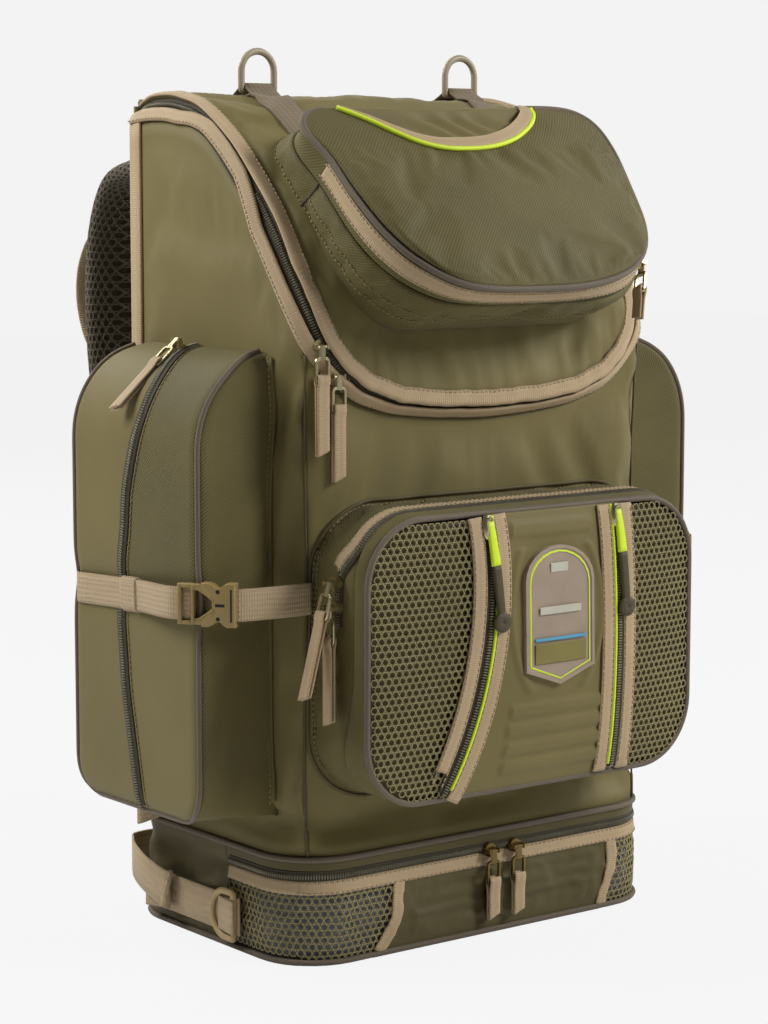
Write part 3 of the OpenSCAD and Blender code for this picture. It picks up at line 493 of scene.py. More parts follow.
def settle(skin, held, push, slack, cap):
    """Lets a panel swell by push and grow by slack where it isn't held, up to cap millimetres."""
    bm = bmesh.new()
    ring, skin.ring = skin.ring, False
    skin.lay(bm)
    mesh = bpy.data.meshes.new("settling")
    bm.to_mesh(mesh)
    bm.free()
    obj = bpy.data.objects.new("settling", mesh)
    bpy.context.scene.collection.objects.link(obj)
    rows, columns = skin.points.shape[:2]
    here = np.array([v.co for v in mesh.vertices]) / mm
    group = obj.vertex_groups.new(name="sewn")
    for k in range(rows * columns):
        j, i = divmod(k, columns)
        group.add([k], min(1.0, held(i / (columns - 1), j / (rows - 1))), "REPLACE")
    cloth = obj.modifiers.new("Cloth", "CLOTH")
    cloth.settings.quality = 6
    cloth.settings.mass = 0.15
    cloth.settings.tension_stiffness = cloth.settings.compression_stiffness = 25
    cloth.settings.shear_stiffness = 12
    cloth.settings.bending_stiffness = 1.2
    cloth.settings.air_damping = 2
    cloth.settings.vertex_group_mass = "sewn"
    cloth.settings.use_pressure = True
    cloth.settings.uniform_pressure_force = push
    cloth.settings.shrink_min = -slack
    cloth.settings.effector_weights.gravity = 0
    cloth.collision_settings.use_collision = False
    frames = 18
    cloth.point_cache.frame_start, cloth.point_cache.frame_end = 1, frames
    scene = bpy.context.scene
    for number in range(1, frames + 1):
        scene.frame_set(number)
    ready = obj.evaluated_get(bpy.context.evaluated_depsgraph_get()).to_mesh()
    there = np.array([v.co for v in ready.vertices]) / mm
    move = there - here
    far = np.linalg.norm(move, axis=1, keepdims=True)
    move *= np.minimum(1, cap / np.maximum(far, 1e-6))
    skin.points = (here + move).reshape(rows, columns, 3)
    skin.ring = ring
    bpy.data.objects.remove(obj)
    scene.frame_set(1)
    print(f"settled {rows * columns} points, up to {min(cap, far.max()):.1f} mm")


print("the cloth is going to settle")

# %% [markdown]
# ## Trims that follow a line
# Piping, webbing, tapes and cords are one section carried along a line, so one helper makes them all: a grid
# is wrapped round the section, its seam merged and its two ends closed. Stitches and zip coils are a small
# cube or ball repeated along the same kind of line.


# %% Bands and their sections
def frames_of(points, normals, ring=False):
    run = np.roll(points, -1, 0) - np.roll(points, 1, 0) if ring else np.gradient(points, axis=0)
    run = unit(run)
    side = unit(np.cross(normals, run))
    return run, side, np.cross(run, side)


def band(bm, points, normals, section, ring=False, grow=None):
    """Carries a closed section of (across, up) pairs along a line. grow scales its width at each point."""
    points, normals = np.array(points, float), np.array(normals, float)
    normals = np.broadcast_to(normals, points.shape)
    _, side, up = frames_of(points, normals, ring)
    n, k = len(points), len(section)
    rows = n if ring else n - 1
    section = np.array(section, float)
    girth = np.linalg.norm(np.roll(section, -1, 0) - section, axis=1).sum()
    length = np.linalg.norm(np.diff(points, axis=0), axis=1).sum()
    layer = bm.loops.layers.uv.get("cloth") or bm.loops.layers.uv.new("cloth")
    verts = bmesh.ops.create_grid(bm, x_segments=k, y_segments=rows, size=0.5)["verts"]
    for face in {f for v in verts for f in v.link_faces}:
        for loop in face.loops:
            co = loop.vert.co
            loop[layer].uv = ((co.x + 0.5) * girth * mm, (co.y + 0.5) * length * mm)
    for v in verts:
        i, j = round((v.co.x + 0.5) * k) % k, round((v.co.y + 0.5) * rows) % n
        wide = section[i][0] * (1 if grow is None else grow[j])
        v.co = Vector(points[j] + side[j] * wide + up[j] * section[i][1]) * mm
    bmesh.ops.remove_doubles(bm, verts=verts, dist=1e-7)
    verts = [v for v in verts if v.is_valid]
    if not ring:
        rim = list({e for v in verts for e in v.link_edges if e.is_boundary})
        bmesh.ops.holes_fill(bm, edges=rim, sides=0)
    bmesh.ops.recalc_face_normals(bm, faces=list({f for v in verts for f in v.link_faces}))


def round_section(radius, sides=8, flat=1.0):
    turns = [2 * math.pi * s / sides for s in range(sides)]
    return [(radius * math.cos(a), radius * flat * math.sin(a)) for a in turns]


def flat_section(width, thick, crown=0.0, shift=0.0):
    half, t, e = width / 2, thick / 2, min(thick / 2, width / 8)
    upper = [(half, 0), (half - e, t)] + [(half * w, t + crown * (1 - w * w)) for w in (0.5, 0, -0.5)]
    lower = [(-half + e, t), (-half, 0), (-half + e, -t), (0, -t), (half - e, -t)]
    return [(a + shift, b) for a, b in upper + lower]


def along(points, normals, count):
    both = even(np.hstack([points, np.broadcast_to(normals, np.shape(points))]), count)
    return both[:, :3], unit(both[:, 3:])


def calm(both, width=9):
    """Evens out the points of a line, as a stiff tape does over soft cloth; the normals are kept as they are.
    """
    points, normals = both
    held = np.pad(points, ((width // 2, width // 2), (0, 0)), mode="reflect", reflect_type="odd")
    eased = np.column_stack([np.convolve(held[:, k], np.ones(width) / width, "valid") for k in range(3)])
    return eased, normals


print("a round section has", len(round_section(1)), "sides, a flat one", len(flat_section(10, 1)))


# %% Rows of stitches and zip coils
def repeat(bm, points, normals, pitch, shape):
    """Sets shape(row, matrix) every pitch millimetres along a line."""
    count = max(2, int(length_of(np.array(points, float)) / pitch))
    points, normals = along(np.array(points, float), normals, count)
    run, side, up = frames_of(points, normals)
    row = bmesh.new()
    for p, a, b, c in zip(points, side, run, up):
        turn = Matrix((a, b, c)).transposed().to_4x4()
        shape(row, Matrix.Translation(Vector(p) * mm) @ turn)
    join(bm, row)


def stitches(bm, points, normals, pitch=3.6, long=2.5, wide=0.7, high=0.6, side=0.0, lift=0.2):
    points, normals = along(np.array(points, float), normals, max(3, len(points)))
    _, across, up = frames_of(points, normals)
    size = Matrix.Diagonal((wide * mm, long * mm, high * mm, 1))
    repeat(bm, points + across * side + up * lift, up, pitch,
           lambda row, m: bmesh.ops.create_cube(row, size=1, matrix=m @ size))


def coil(bm, points, normals, width=4.6, pitch=1.7, tooth=0.62, high=1.0):
    size = Matrix.Diagonal((width / 2 * mm, tooth * mm, high * mm, 1))
    repeat(bm, points, normals, pitch,
           lambda row, m: bmesh.ops.create_icosphere(row, subdivisions=1, radius=1, matrix=m @ size))


print("trims: band, stitches and coil")

# %% [markdown]
# ## The sewn body
# The front and both sides of the body are one length of cloth wrapped round the base and cut along the mouth,
# where the lid zips on. It is laid as one grid, so that folds run on round the corners, and then cut into the
# three panels. A dark cord covers each front corner and a tan binding the rear edges.

# %% Body panels
half_mouth = [(-140.5, 93, 525), (-141, 60, 525), (-141, 38, 523), (-141, 15, 516), (-141, -2, 505),
              (-141, -20, 488), (-141, -40, 468), (-141, -56, 446), (-140.5, -72, 424), (-139, -86, 403),
              (-134, -93.5, 386), (-122, -94, 368), (-104, -94, 353.5), (-80, -94, 345.5), (-50, -94, 341)]


def both_halves(half, middle):
    return half + [middle] + [(-x, y, z) for x, y, z in reversed(half)]


mouth_line = curve(both_halves(half_mouth, (0, -94, 338)), body_steps + 1)
foot_line = rounded(-149.5, 149.5, -102, body_half_depth, (40, 40, 40, 40), 640)
flare_height = 26


def body_place(u, v):
    x, y, top = mouth_line[round(u * body_steps)]
    z = base_top + (top - base_top) * v
    near = foot_line[np.argmin(np.hypot(foot_line[:, 0] - x, foot_line[:, 1] - y))]
    flare = max(0, 1 - (z - base_top) / flare_height) ** 2 * np.clip((64 - y) / 20, 0, 1)
    return x + (near[0] - x) * flare, y + (near[1] - y) * flare, z


body = surface(body_steps, 44, body_place)
settle(body, seams(0.02, 0.03, 0.95, 0.02), push=0.8, slack=0.02, cap=4)
all_u = np.linspace(0, 1, body_steps + 1)
corners = [u for u in all_u if mouth_line[round(u * body_steps), 1] < -91]
left_corner, right_corner = corners[0], corners[-1]
panels = {"front_panel": lambda u, v: left_corner < u < right_corner,
          "side_panel_left": lambda u, v: u < left_corner, "side_panel_right": lambda u, v: u > right_corner}
for name, keep in panels.items():
    bm = bmesh.new()
    body.lay(bm, keep)
    make(bm, name + "_cloth", pack_cloth, "pack", [name], thick=1.2)
corner_lines = [calm(body.at([(u, v) for v in np.linspace(0, 0.97, 60)], 0.9), 15)
                for u in (left_corner, right_corner)]
trim("corner_cords", dark_olive_and_shade, "pack", "dark_cloth", band, *corner_lines, section=round_section(0.9))
fine_u = np.linspace(0, 1, 1601)
plan = np.column_stack([np.interp(fine_u, all_u, line) for line in mouth_line.T])


def on_body(spots, lift=0.0):
    """Points and normals on the settled body, beside the given points."""
    uv = []
    for x, y, z in spots:
        k = np.argmin(np.hypot(plan[:, 0] - x, plan[:, 1] - y))
        uv.append((fine_u[k], (z - base_top) / (plan[k, 2] - base_top)))
    return body.at(uv, lift)


print("body panels:", len(panels))

# %% [markdown]
# ## The lid
# The lid starts as a tongue on the front, climbs the slope and ends at the back. Its grid follows that path,
# and each column starts on the rounded edge of the tongue. The cloth is held at its edge and settles between.
# Small upright gathers are then added above the edge of the tongue, where the binding draws the cloth in.

# %% Lid panel
lid_half, lid_steps = 134, 400
lid_path = curve([(-104.5, 340), (-102.5, 368), (-98, 393), (-91, 414), (-78, 435), (-60, 462), (-38, 486),
                  (-11, 511), (22, 532), (45, 538.5), (60, 540.5), (80, 539.5), (93, 534)], lid_steps)
lid_out = unit(np.column_stack([-np.gradient(lid_path[:, 1]), np.gradient(lid_path[:, 0])]))
tongue_x = [0, 40, 72, 98, 114, 124, 129.5, 132.5, 134]
tongue_z = [345.5, 347, 351, 360.5, 373, 387, 402, 417, 436]


def lid_place(u, v):
    w = 2 * u - 1
    x = math.copysign(lid_half * (1 - (1 - abs(w)) ** 1.6), w)
    start = np.searchsorted(lid_path[:250, 1], np.interp(abs(x), tongue_x, tongue_z))
    k = start + (lid_steps - 1 - start) * v
    y, z, oy, oz = (np.interp(k, range(lid_steps), line) for line in (*lid_path.T, *lid_out.T))
    crown = (1 - (x / lid_half) ** 2) * np.interp(k, [0, 90, 150, 330, lid_steps - 1], [1, 3, 9, 8, 1])
    return x, y + oy * crown, z + oz * crown


lid = surface(96, 80, lid_place)
settle(lid, seams(0.11, 0.05, 0.97, 0.02), push=0.7, slack=0.02, cap=5)
x, z = lid.points[..., 0], lid.points[..., 2]
above_edge = np.exp(-((z - 362 - 0.0016 * x * x) / 13) ** 2) * (np.abs(x) < 100)
gather = np.sin(x / 2.9 + 1.7 * np.sin(x / 13)) * above_edge
lid.points[..., 1] -= 0.9 * gather
bm = bmesh.new()
lid.lay(bm)
make(bm, "lid_cloth", pack_cloth, "lid", ["lid_panel"], thick=1.5)
edge_uv = [(0, v) for v in np.linspace(1, 0, 60)] + [(u, 0) for u in np.linspace(0, 1, 90)[1:-1]]
edge_uv += [(1, v) for v in np.linspace(0, 1, 60)]
lid_edge, lid_edge_out = lid.at(edge_uv)
trim("lid_binding", grosgrain, "lid", "tan_webbing", band, (lid_edge + lid_edge_out * 0.9, lid_edge_out),
     section=flat_section(10.5, 2.2, 0.6, 3.4))
trim("lid_stitches", thread_tan, "lid", "tan_webbing", stitches, (lid_edge, lid_edge_out), side=7.2, lift=2.2)

# %% [markdown]
# ## The zip round the mouth
# Between the two bindings runs a dark tape with a coil zip. Real coils are a spiral of nylon. A row of small
# flattened balls reads the same from arm's length and stays light. The binding of the body stands up against
# the lid where the cloth is full, so the zip shows only near the back and beside the tongue.

# %% Mouth zip
lid_line = even(lid_edge, body_steps + 1)


def zip_place(u, v):
    k = round(u * body_steps)
    return mouth_line[k] * (1 - v) + lid_line[k] * v


zip_floor = surface(body_steps, 4, zip_place)
from_rear = 1 - np.abs(np.linspace(-1, 1, body_steps + 1))
lean_places = [0, 0.14, 0.22, 0.34, 0.42, 0.62, 0.72, 1]
lean = np.interp(from_rear, lean_places, [0.45, 0.45, 0.85, 0.85, 0.3, 0.3, 0.65, 0.7])[:, None]
zip_floor.points -= zip_floor.normals() * (1.2 - 2.4 * np.clip(lean - 0.45, 0, 0.4))
bm = bmesh.new()
zip_floor.lay(bm)
make(bm, "mouth_zip_tape", zip_tape, "pack", ["mouth_zip"], thick=0.8)
facing = body.at([(u, 0.985) for u in all_u], -1.9)
trim("mouth_facing", zip_tape, "pack", "zip_cloth", band, facing, section=flat_section(11, 1.0))
lip = mouth_line + (lid_line - mouth_line) * lean
lip_out = zip_floor.at([(u, 0.3) for u in all_u])[1]
lip += lip_out * (0.5 + lean * 1.5)
bm = bmesh.new()
band(bm, lip, lip_out, flat_section(9.5, 1.8, 0.5, -4.2))
for u, shift in ((0.0, -4.5), (1.0, 4.5)):
    points, normals = body.at([(u, v) for v in np.linspace(0, 0.998, 40)], 0.8)
    band(bm, points, normals, flat_section(13.5, 2.4, 0.4, shift))
make(bm, "body_bindings", grosgrain, "pack")
trim("body_binding_stitches", thread_tan, "pack", "tan_webbing", stitches, (lip, lip_out),
     side=-7.6, lift=1.1)
coil_lines = []
for first, last in ((0.005, 0.1), (0.19, 0.36)):
    for flip in (False, True):
        run = [(1 - u if flip else u, 0.66) for u in np.linspace(first, last, 60)]
        coil_lines.append(zip_floor.at(run, 0.5))
trim("mouth_zip_coil", coil_nylon, "pack", "zip_cloth", coil, *coil_lines, width=5)

# %% [markdown]
# ## Nets
# A net is a field of six-sided holes. Six-sided faces are set side by side and merged, each is inset, and the
# middles are deleted, which leaves the threads. The flat net is then moved onto the surface it belongs to and
# gets its thickness from Solidify. Drawing it as a picture would lose the holes seen from the side.


# %% Six-sided net
def net(bm, left, right, low, high, inside, place, pitch=4.8, thread=1.3):
    cells = bmesh.new()
    layer = cells.loops.layers.uv.new("cloth")
    rise, radius = pitch * math.sqrt(3) / 2, pitch / math.sqrt(3)
    for row in range(int((high - low) / rise) + 1):
        for column in range(int((right - left) / pitch) + 1):
            x, y = left + (column + 0.5 * (row % 2)) * pitch, low + row * rise
            if inside(x, y):
                spot = Matrix.Translation((x, y, 0)) @ Matrix.Rotation(math.radians(30), 4, "Z")
                bmesh.ops.create_circle(cells, cap_ends=True, segments=6, radius=radius, matrix=spot)
    bmesh.ops.remove_doubles(cells, verts=cells.verts, dist=0.2)
    holes = list(cells.faces)
    bmesh.ops.inset_individual(cells, faces=holes, thickness=thread / 2, use_even_offset=True)
    bmesh.ops.delete(cells, geom=holes, context="FACES")
    for face in cells.faces:
        for loop in face.loops:
            loop[layer].uv = loop.vert.co.xy * mm
    spots = place([(v.co.x, v.co.y) for v in cells.verts])
    for v, p in zip(cells.verts, spots):
        v.co = Vector(p) * mm
    join(bm, cells)


print("a net has its thickness from Solidify")


# %% Closed curves
def closed_curve(points, count):
    """count even points on a smooth closed line, from its first point."""
    loop = curve(points[-3:] + points + points[:4], 40 * (len(points) + 6))
    half = len(loop) // 2
    away = np.linalg.norm(loop - np.array(points[0]), axis=1)
    start, end = np.argmin(away[:half]), np.argmin(away[half:])
    return even(loop[start:half + end], count, ring=True)


print("closed curves ready for the lid pocket")

# %% [markdown]
# ## The lid pocket
# The pocket on the slope is a drum: a wall sewn to the lid, then the zip under its tan tape, then a cover
# with a soft domed face. The face is stretched across its outline and domed. Its top sinks along a curved
# slot, where a lime lip and a tan binding frame a piece of gathered plain cloth.


# %% Lid pocket wall
def on_slope(x, t, h):
    """The point t up the slope of the lid and h above it."""
    return x, slope_y + slope_along * t - slope_rise * h, slope_z + slope_rise * t + slope_along * h


skew = math.radians(18.63)
foot_loop = rounded(-112, 112, -103, 40, (50, 25, 25, 50), pocket_steps)
face_loop = closed_curve([(-8, -127), (37, -124), (72, -114), (95, -97), (108, -76), (117, -40), (123, -6),
                          (118, 18), (96, 27), (40, 26), (-15, 23), (-85, 23), (-110, 21), (-121, 8),
                          (-113, -18), (-110, -48), (-103, -80), (-89, -104), (-61, -123)], pocket_steps)


def pocket_wall(u, v, low, high):
    k = round(u * pocket_steps) % pocket_steps
    h = low + (high - low) * v
    x, y = foot_loop[k]
    a = np.array((x, y / math.cos(skew) - h * math.tan(skew)))
    x, t = a + (face_loop[k] - a) * max(0, h / 50) ** 1.3
    out = 1 + 0.035 * math.sin(math.pi * np.clip(h / 34, 0, 1))
    return on_slope(x * out, (t + 45) * out - 45, h)


def wall_foot(u):
    """The foot of the wall reaches down to the tongue where the lid bends away from the slope."""
    return -15 * np.clip((-66 - foot_loop[round(u * pocket_steps) % pocket_steps, 1]) / 34, 0, 1)


lid_wall = surface(pocket_steps, 12, lambda u, v: pocket_wall(u, v, wall_foot(u), 30), ring=True)
settle(lid_wall, seams(0, 0.3, 0.95, 0.03), push=0.5, slack=0.03, cap=3)
bm = bmesh.new()
lid_wall.lay(bm)
make(bm, "lid_pocket_wall_cloth", twill, "lid", ["lid_pocket_wall"], thick=1.2)
zip_end = next(k for k in range(pocket_steps) if face_loop[k, 1] > -16) / pocket_steps
zip_start = next(k for k in range(0, -pocket_steps, -1) if face_loop[k, 1] > -20) / pocket_steps


def lower_run(skin, v, lift, count=200):
    return skin.at([(u % 1, v) for u in np.linspace(zip_start, zip_end, count)], lift)


seam_lines = [lid_wall.at([(u % 1, v) for v in np.linspace(0.1, 1, 20)], 0.1) for u in (zip_start, zip_end)]
trim("lid_pocket_wall_seam", lining, "lid", "dark_cloth", band, *seam_lines, section=round_section(0.7, 6))
bm = bmesh.new()
stitches(bm, *lower_run(lid_wall, 0.62, 0.2), wide=0.5)
stitches(bm, *lid_wall.at([(u, 0.36) for u in np.linspace(0, 1, 240)], 0.2))
make(bm, "lid_pocket_wall_stitches", thread_olive, "lid")

# %% Lid pocket cover
cover_rim = surface(pocket_steps, 8, lambda u, v: pocket_wall(u, v, 30.6, 49), ring=True)
bm = bmesh.new()
cover_rim.lay(bm)
make(bm, "lid_pocket_rim", twill, "lid_pocket_cover", thick=1.2)
trim("lid_pocket_tape", grosgrain, "lid_pocket_cover", "tan_webbing", band, lower_run(cover_rim, 0.5, 0.6),
     section=flat_section(12, 1.3, 0.3))
bm = bmesh.new()
for side in (-4.6, 4.6):
    stitches(bm, *lower_run(cover_rim, 0.5, 1.3), side=side)
make(bm, "lid_pocket_tape_stitches", thread_tan, "lid_pocket_cover")

# %% Lid pocket face
slot_steps, slot_left, slot_right = 90, -90, 69
slot_points = curve([(slot_left, 22), (-73, 10), (-59, -2), (-45, -11.5), (-28, -17), (-8, -17.8), (14, -15),
                     (36, -7), (55, 5), (66, 16), (slot_right, 24)], slot_steps)


def slot_depth(x, t):
    """How far a point of the face lies inside the slot, from 0 to 1."""
    if not slot_left < x < slot_right:
        return 0.0
    lower = slot_points[:np.argmax(slot_points[:, 0])]
    return float(np.clip((t - np.interp(x, *lower.T)) / 6, 0, 1))


def face_height(x, t):
    middle = max(0, 1 - (x / 124) ** 2) * max(0, 1 - ((t + 50) / 79) ** 2)
    return 49 + 8.5 * middle ** 0.6


def dome(x, t):
    inside = slot_depth(x, t)
    inside *= float(np.clip((22.5 - t) / 7, 0, 1))
    fold = 1.3 * math.sin(x / 4.5 + t / 3.2 + math.sin(x / 17) * 2)
    return on_slope(x, t, face_height(x, t) + (fold - 3.5) * inside)


face_corners = [int(np.argmin(face_loop @ np.array(d))) for d in ((1, 1.1), (-1, 1.1), (-1, -4), (1, -4))]
face_columns, face_rows = 90, 60
face = patch(np.column_stack([face_loop, np.zeros(pocket_steps)]), face_corners, face_columns, face_rows)
flat_face = face.points.copy()
face.points = np.array([[dome(*p[:2]) for p in row] for row in face.points])
settle(face, seams(0.03, 0.03, 0.7, 0.02), push=0.5, slack=0.02, cap=3)


def face_cloth(u, v):
    """Ribbed cloth (0) on the face and plain cloth (1) inside the slot."""
    return int(slot_depth(*flat_face[round(v * face_rows), round(u * face_columns), :2]) > 0.6)


bm = bmesh.new()
face.lay(bm, index=face_cloth)
make(bm, "lid_pocket_face", [twill, pack_cloth], "lid_pocket_cover", ["lid_pocket_cover"],
     thick=1.2)
slope_up = np.array((0, -slope_rise, slope_along))
lip_line = np.array([on_slope(x, t, face_height(x, t) + 1.2) for x, t in slot_points])
trim("lid_pocket_lip", lime_rubber, "lid_pocket_cover", "lime_plastic", band, (lip_line, slope_up),
     section=round_section(1.5))
trim("lid_pocket_slot_tape", grosgrain, "lid_pocket_cover", "tan_webbing", band, (lip_line, slope_up),
     section=flat_section(9, 1.5, 0.3, 5.5),
     grow=np.interp(range(slot_steps), [0, 40, slot_steps - 1], [0.25, 1, 1]))
piping_start = int(np.argmin(np.hypot(face_loop[:, 0] - 60, face_loop[:, 1] - 26)))
piping_end = int(np.argmin(np.hypot(face_loop[:, 0] + 96, face_loop[:, 1] - 23)))
turns = np.linspace(piping_end / pocket_steps, 1 + piping_start / pocket_steps, 260)
piping = calm(cover_rim.at([(u % 1, 0.97) for u in turns], 0.4))
trim("lid_pocket_piping", cord_brown, "lid_pocket_cover", "tan_webbing", band, piping,
     section=round_section(2.3))

# %% [markdown]
# ## The front pocket
# A gusset stands out from the body, the zip runs over its top, and the door closes it with a rim, a brown
# piping and a domed face. Low on the sides, where the door hinges, the seam lies further back. Two nets flank
# the middle of the face, each beside a zip with a lime edge between tan tapes.

# %% Front pocket gusset and rim
door_loop = rounded(-door_half, door_half, 107, 287, (42, 42, 42, 42), door_steps)
gusset_loop = rounded(-131.9, 131.9, 109.1, 284.9, (40, 40, 40, 40), door_steps)


def seam_depth(z):
    return np.interp(z, [107, 125, 185, 287], [-122.5, -122.5, -137, -138.5])


def gusset_place(u, v):
    x, z = gusset_loop[round(u * door_steps) % door_steps]
    out = 1.5 * math.sin(math.pi * v)
    push = unit(np.array((x, z - door_middle)))
    return x + push[0] * out, -body_half_depth * (1 - v) + (seam_depth(z) + 1.0) * v, z + push[1] * out


gusset = surface(door_steps, 10, gusset_place, ring=True)
settle(gusset, seams(0, 0.05, 0.7, 0.05), push=0.3, slack=0.02, cap=2)
bm = bmesh.new()
gusset.lay(bm)
make(bm, "front_pocket_gusset_cloth", twill, "pack", ["front_pocket_gusset"], thick=1.2)


def over_top(lowest, behind, lift, count=280):
    """A line over the top of the gusset beside its seam, which turns back to the sliders at both ends."""
    first = next(k for k in range(door_steps) if gusset_loop[k, 1] > lowest) / door_steps
    turns = np.linspace(first, 1 - first, count)
    heights = np.interp(turns * door_steps, range(door_steps), gusset_loop[:, 1])
    front = np.interp(heights, [247, 268], [0, 1])
    points, normals = calm(gusset.at([(u, 0.68 + 0.32 * part - behind) for u, part in zip(turns, front)]))
    return points + normals * (lift + 1.4 * front[:, None]), normals


trim("front_pocket_tape", grosgrain, "pack", "tan_webbing", band, over_top(252, 0.15, 0.6),
     section=flat_section(8.5, 1.2, 0.3))
bm = bmesh.new()
for side in (-2.9, 2.9):
    stitches(bm, *over_top(252, 0.15, 1.2), side=side)
make(bm, "front_pocket_tape_stitches", thread_tan, "pack")
gusset_rows = [gusset.at([(u, v) for u in np.linspace(0, 1, 240)], 0.3) for v in (0.04, 0.12)]
trim("front_gusset_stitches", thread_olive, "pack", "olive_cloth", stitches, *gusset_rows)
trim("front_pocket_zip_tape", zip_tape, "pack", "zip_cloth", band, over_top(214, 0, 0.5),
     section=flat_section(7, 1.0))
trim("front_pocket_coil", coil_nylon, "pack", "zip_cloth", coil, over_top(216, 0, 1.1), width=4.4)
seat = rounded(-135, 135, 106, 290, (45, 45, 45, 45), door_steps)
trim("front_pocket_seat_cord", dark_olive_and_shade, "pack", "olive_cloth", band,
     on_body([(x, -94, z) for x, z in seat], 0.9), section=round_section(1.2), ring=True)

# %% Front door rim
face_edge = rounded(-130, door_half, 107.5, 282, (41, 40, 40, 40), door_steps)


def rim_place(u, v):
    k = round(u * door_steps) % door_steps
    (x, z), (near_x, near_z) = door_loop[k], face_edge[k]
    part = v ** 1.5
    return x + (near_x - x) * part, (seam_depth(z) - 1.2) * (1 - v) - 147 * v, z + (near_z - z) * part


rim = surface(door_steps, 8, rim_place, ring=True)
bm = bmesh.new()
rim.lay(bm)
make(bm, "front_door_rim", twill, "front_pocket_door", thick=1.2)
rim_edge = rim.at([(u, 0.98) for u in np.linspace(0, 1, door_steps, endpoint=False)], 0.4)
trim("front_door_piping", cord_brown, "front_pocket_door", "tan_webbing", band, rim_edge,
     section=round_section(2.0), ring=True)


# %% The domed door
def bulge(x, z):
    return max(0, 1 - (x / door_half) ** 2) ** 0.7 * max(0, 1 - ((z - door_middle) / 90) ** 2) ** 0.7


def on_door(spots, lift=0.0):
    return [(x, door_face - door_crown * bulge(x, z) - lift, z) for x, z in spots]


def door_line(line, lift):
    """Points and outward normals along a line of (x, z) on the door."""
    step, spots = 1.0, np.array(line, float)
    y = np.array(on_door(spots))[:, 1]
    slope_x = np.array(on_door(spots + (step, 0)))[:, 1] - y
    slope_z = np.array(on_door(spots + (0, step)))[:, 1] - y
    normals = unit(np.column_stack([slope_x, -np.ones(len(y)), slope_z]))
    return np.column_stack([spots[:, 0], y, spots[:, 1]]) + normals * lift, normals


def left_zip(z):
    """The left zip is an arc, the right one a straight line at right_zip."""
    return -369.7 + math.sqrt(329.2 ** 2 - (z - 255.7) ** 2)


def in_door(x, z, corner=38.0):
    """Whether a point lies on the face, inside its piping."""
    return math.hypot(max(0, abs(x - 2) - 92), max(0, abs(z - 194.7) - 47)) < corner


def pressed(x, z):
    """The ribs, bar and arcs pressed into the middle of the door, as a height in millimetres."""
    ribs = sum(math.exp(-((z - c) / 4.2) ** 6) for c in (121, 133, 145, 157))
    ribs *= abs(x - badge_x) < 42 - (z - 121) * 0.1
    bar = math.exp(-((z - 271) / 5) ** 8) * (abs(x - 10) < 34)
    from_arc = abs(math.hypot(x - badge_x, (z - 218) * 0.62) - 37.5)
    arc = math.exp(-(from_arc / 2.4) ** 4) * (abs(z - 214) < 46)
    return 1.5 * min(1, ribs + bar + arc)


print("the door stands out by", round(door_crown * bulge(badge_x, door_middle), 1), "mm behind the badge")

# %% Front pocket face and nets
door_corners = [int(np.argmin(face_edge @ np.array(d))) for d in ((1, 1), (-1, 1), (-1, -1), (1, -1))]
door_columns, door_rows, right_zip = 150, 110, 64
door = patch(np.column_stack([face_edge, np.zeros(door_steps)]), door_corners, door_columns, door_rows)
flat_door = door.points[..., :2]
door.points = np.array([[on_door([p], pressed(*p))[0] for p in row] for row in flat_door])


def middle_panel(u, v):
    x, z = flat_door[round(v * door_rows), round(u * door_columns)]
    return left_zip(z) < x < right_zip


def net_panel(x, z):
    return in_door(x, z) and (x < left_zip(z) or x > right_zip)


bm = bmesh.new()
door.lay(bm, middle_panel)
make(bm, "front_door_middle", pack_cloth, "front_pocket_door", ["front_pocket_door"],
     thick=1.2)
bm = bmesh.new()
net(bm, -door_half, door_half, 107, 287, net_panel, on_door)
make(bm, "front_door_net", net_cord, "front_pocket_door", ["front_pocket_mesh"], thick=0.9)
behind = Skin([[(x, -143 - 9.5 * bulge(x, z), z) for x, z in row] for row in flat_door[::3, ::3]])
bm = bmesh.new()
behind.lay(bm)
make(bm, "front_door_lining", dark_olive_and_shade, "front_pocket_door", thick=0.8)

# %% Zips beside the nets
heights = np.linspace(109, 281, 80)
zips = {"left": ([(left_zip(z), z) for z in heights], 3.6),
        "right": ([(right_zip, z) for z in heights], -3.6)}
for name, (line, lime_side) in zips.items():
    bm = bmesh.new()
    for shift, skip in ((-9.5, 0), (9.5, 6 if name == "left" else 0)):
        band(bm, *door_line(line[skip:], 1.2), flat_section(11, 1.3, 0.3, shift))
    make(bm, f"net_tape_{name}", grosgrain, "front_pocket_door")
    bm = bmesh.new()
    for side in (-13.6, -5.4, 5.4, 13.6):
        stitches(bm, *door_line(line[3:-2], 1.9), side=side)
    make(bm, f"net_tape_stitches_{name}", thread_tan, "front_pocket_door")
    trim(f"net_zip_{name}", zip_tape, "front_pocket_door", "zip_cloth", band, door_line(line[1:], 0.6),
         section=flat_section(10, 1.0))
    trim(f"net_coil_{name}", coil_nylon, "front_pocket_door", "zip_cloth", coil, door_line(line[1:], 1.6),
         width=5.4)
    lime_edge = door_line([(x + lime_side, z) for x, z in line[2:]], 1.8)
    trim(f"net_lime_{name}", lime_rubber, "front_pocket_door", "lime_plastic", band, lime_edge,
         section=round_section(1.1, 6))
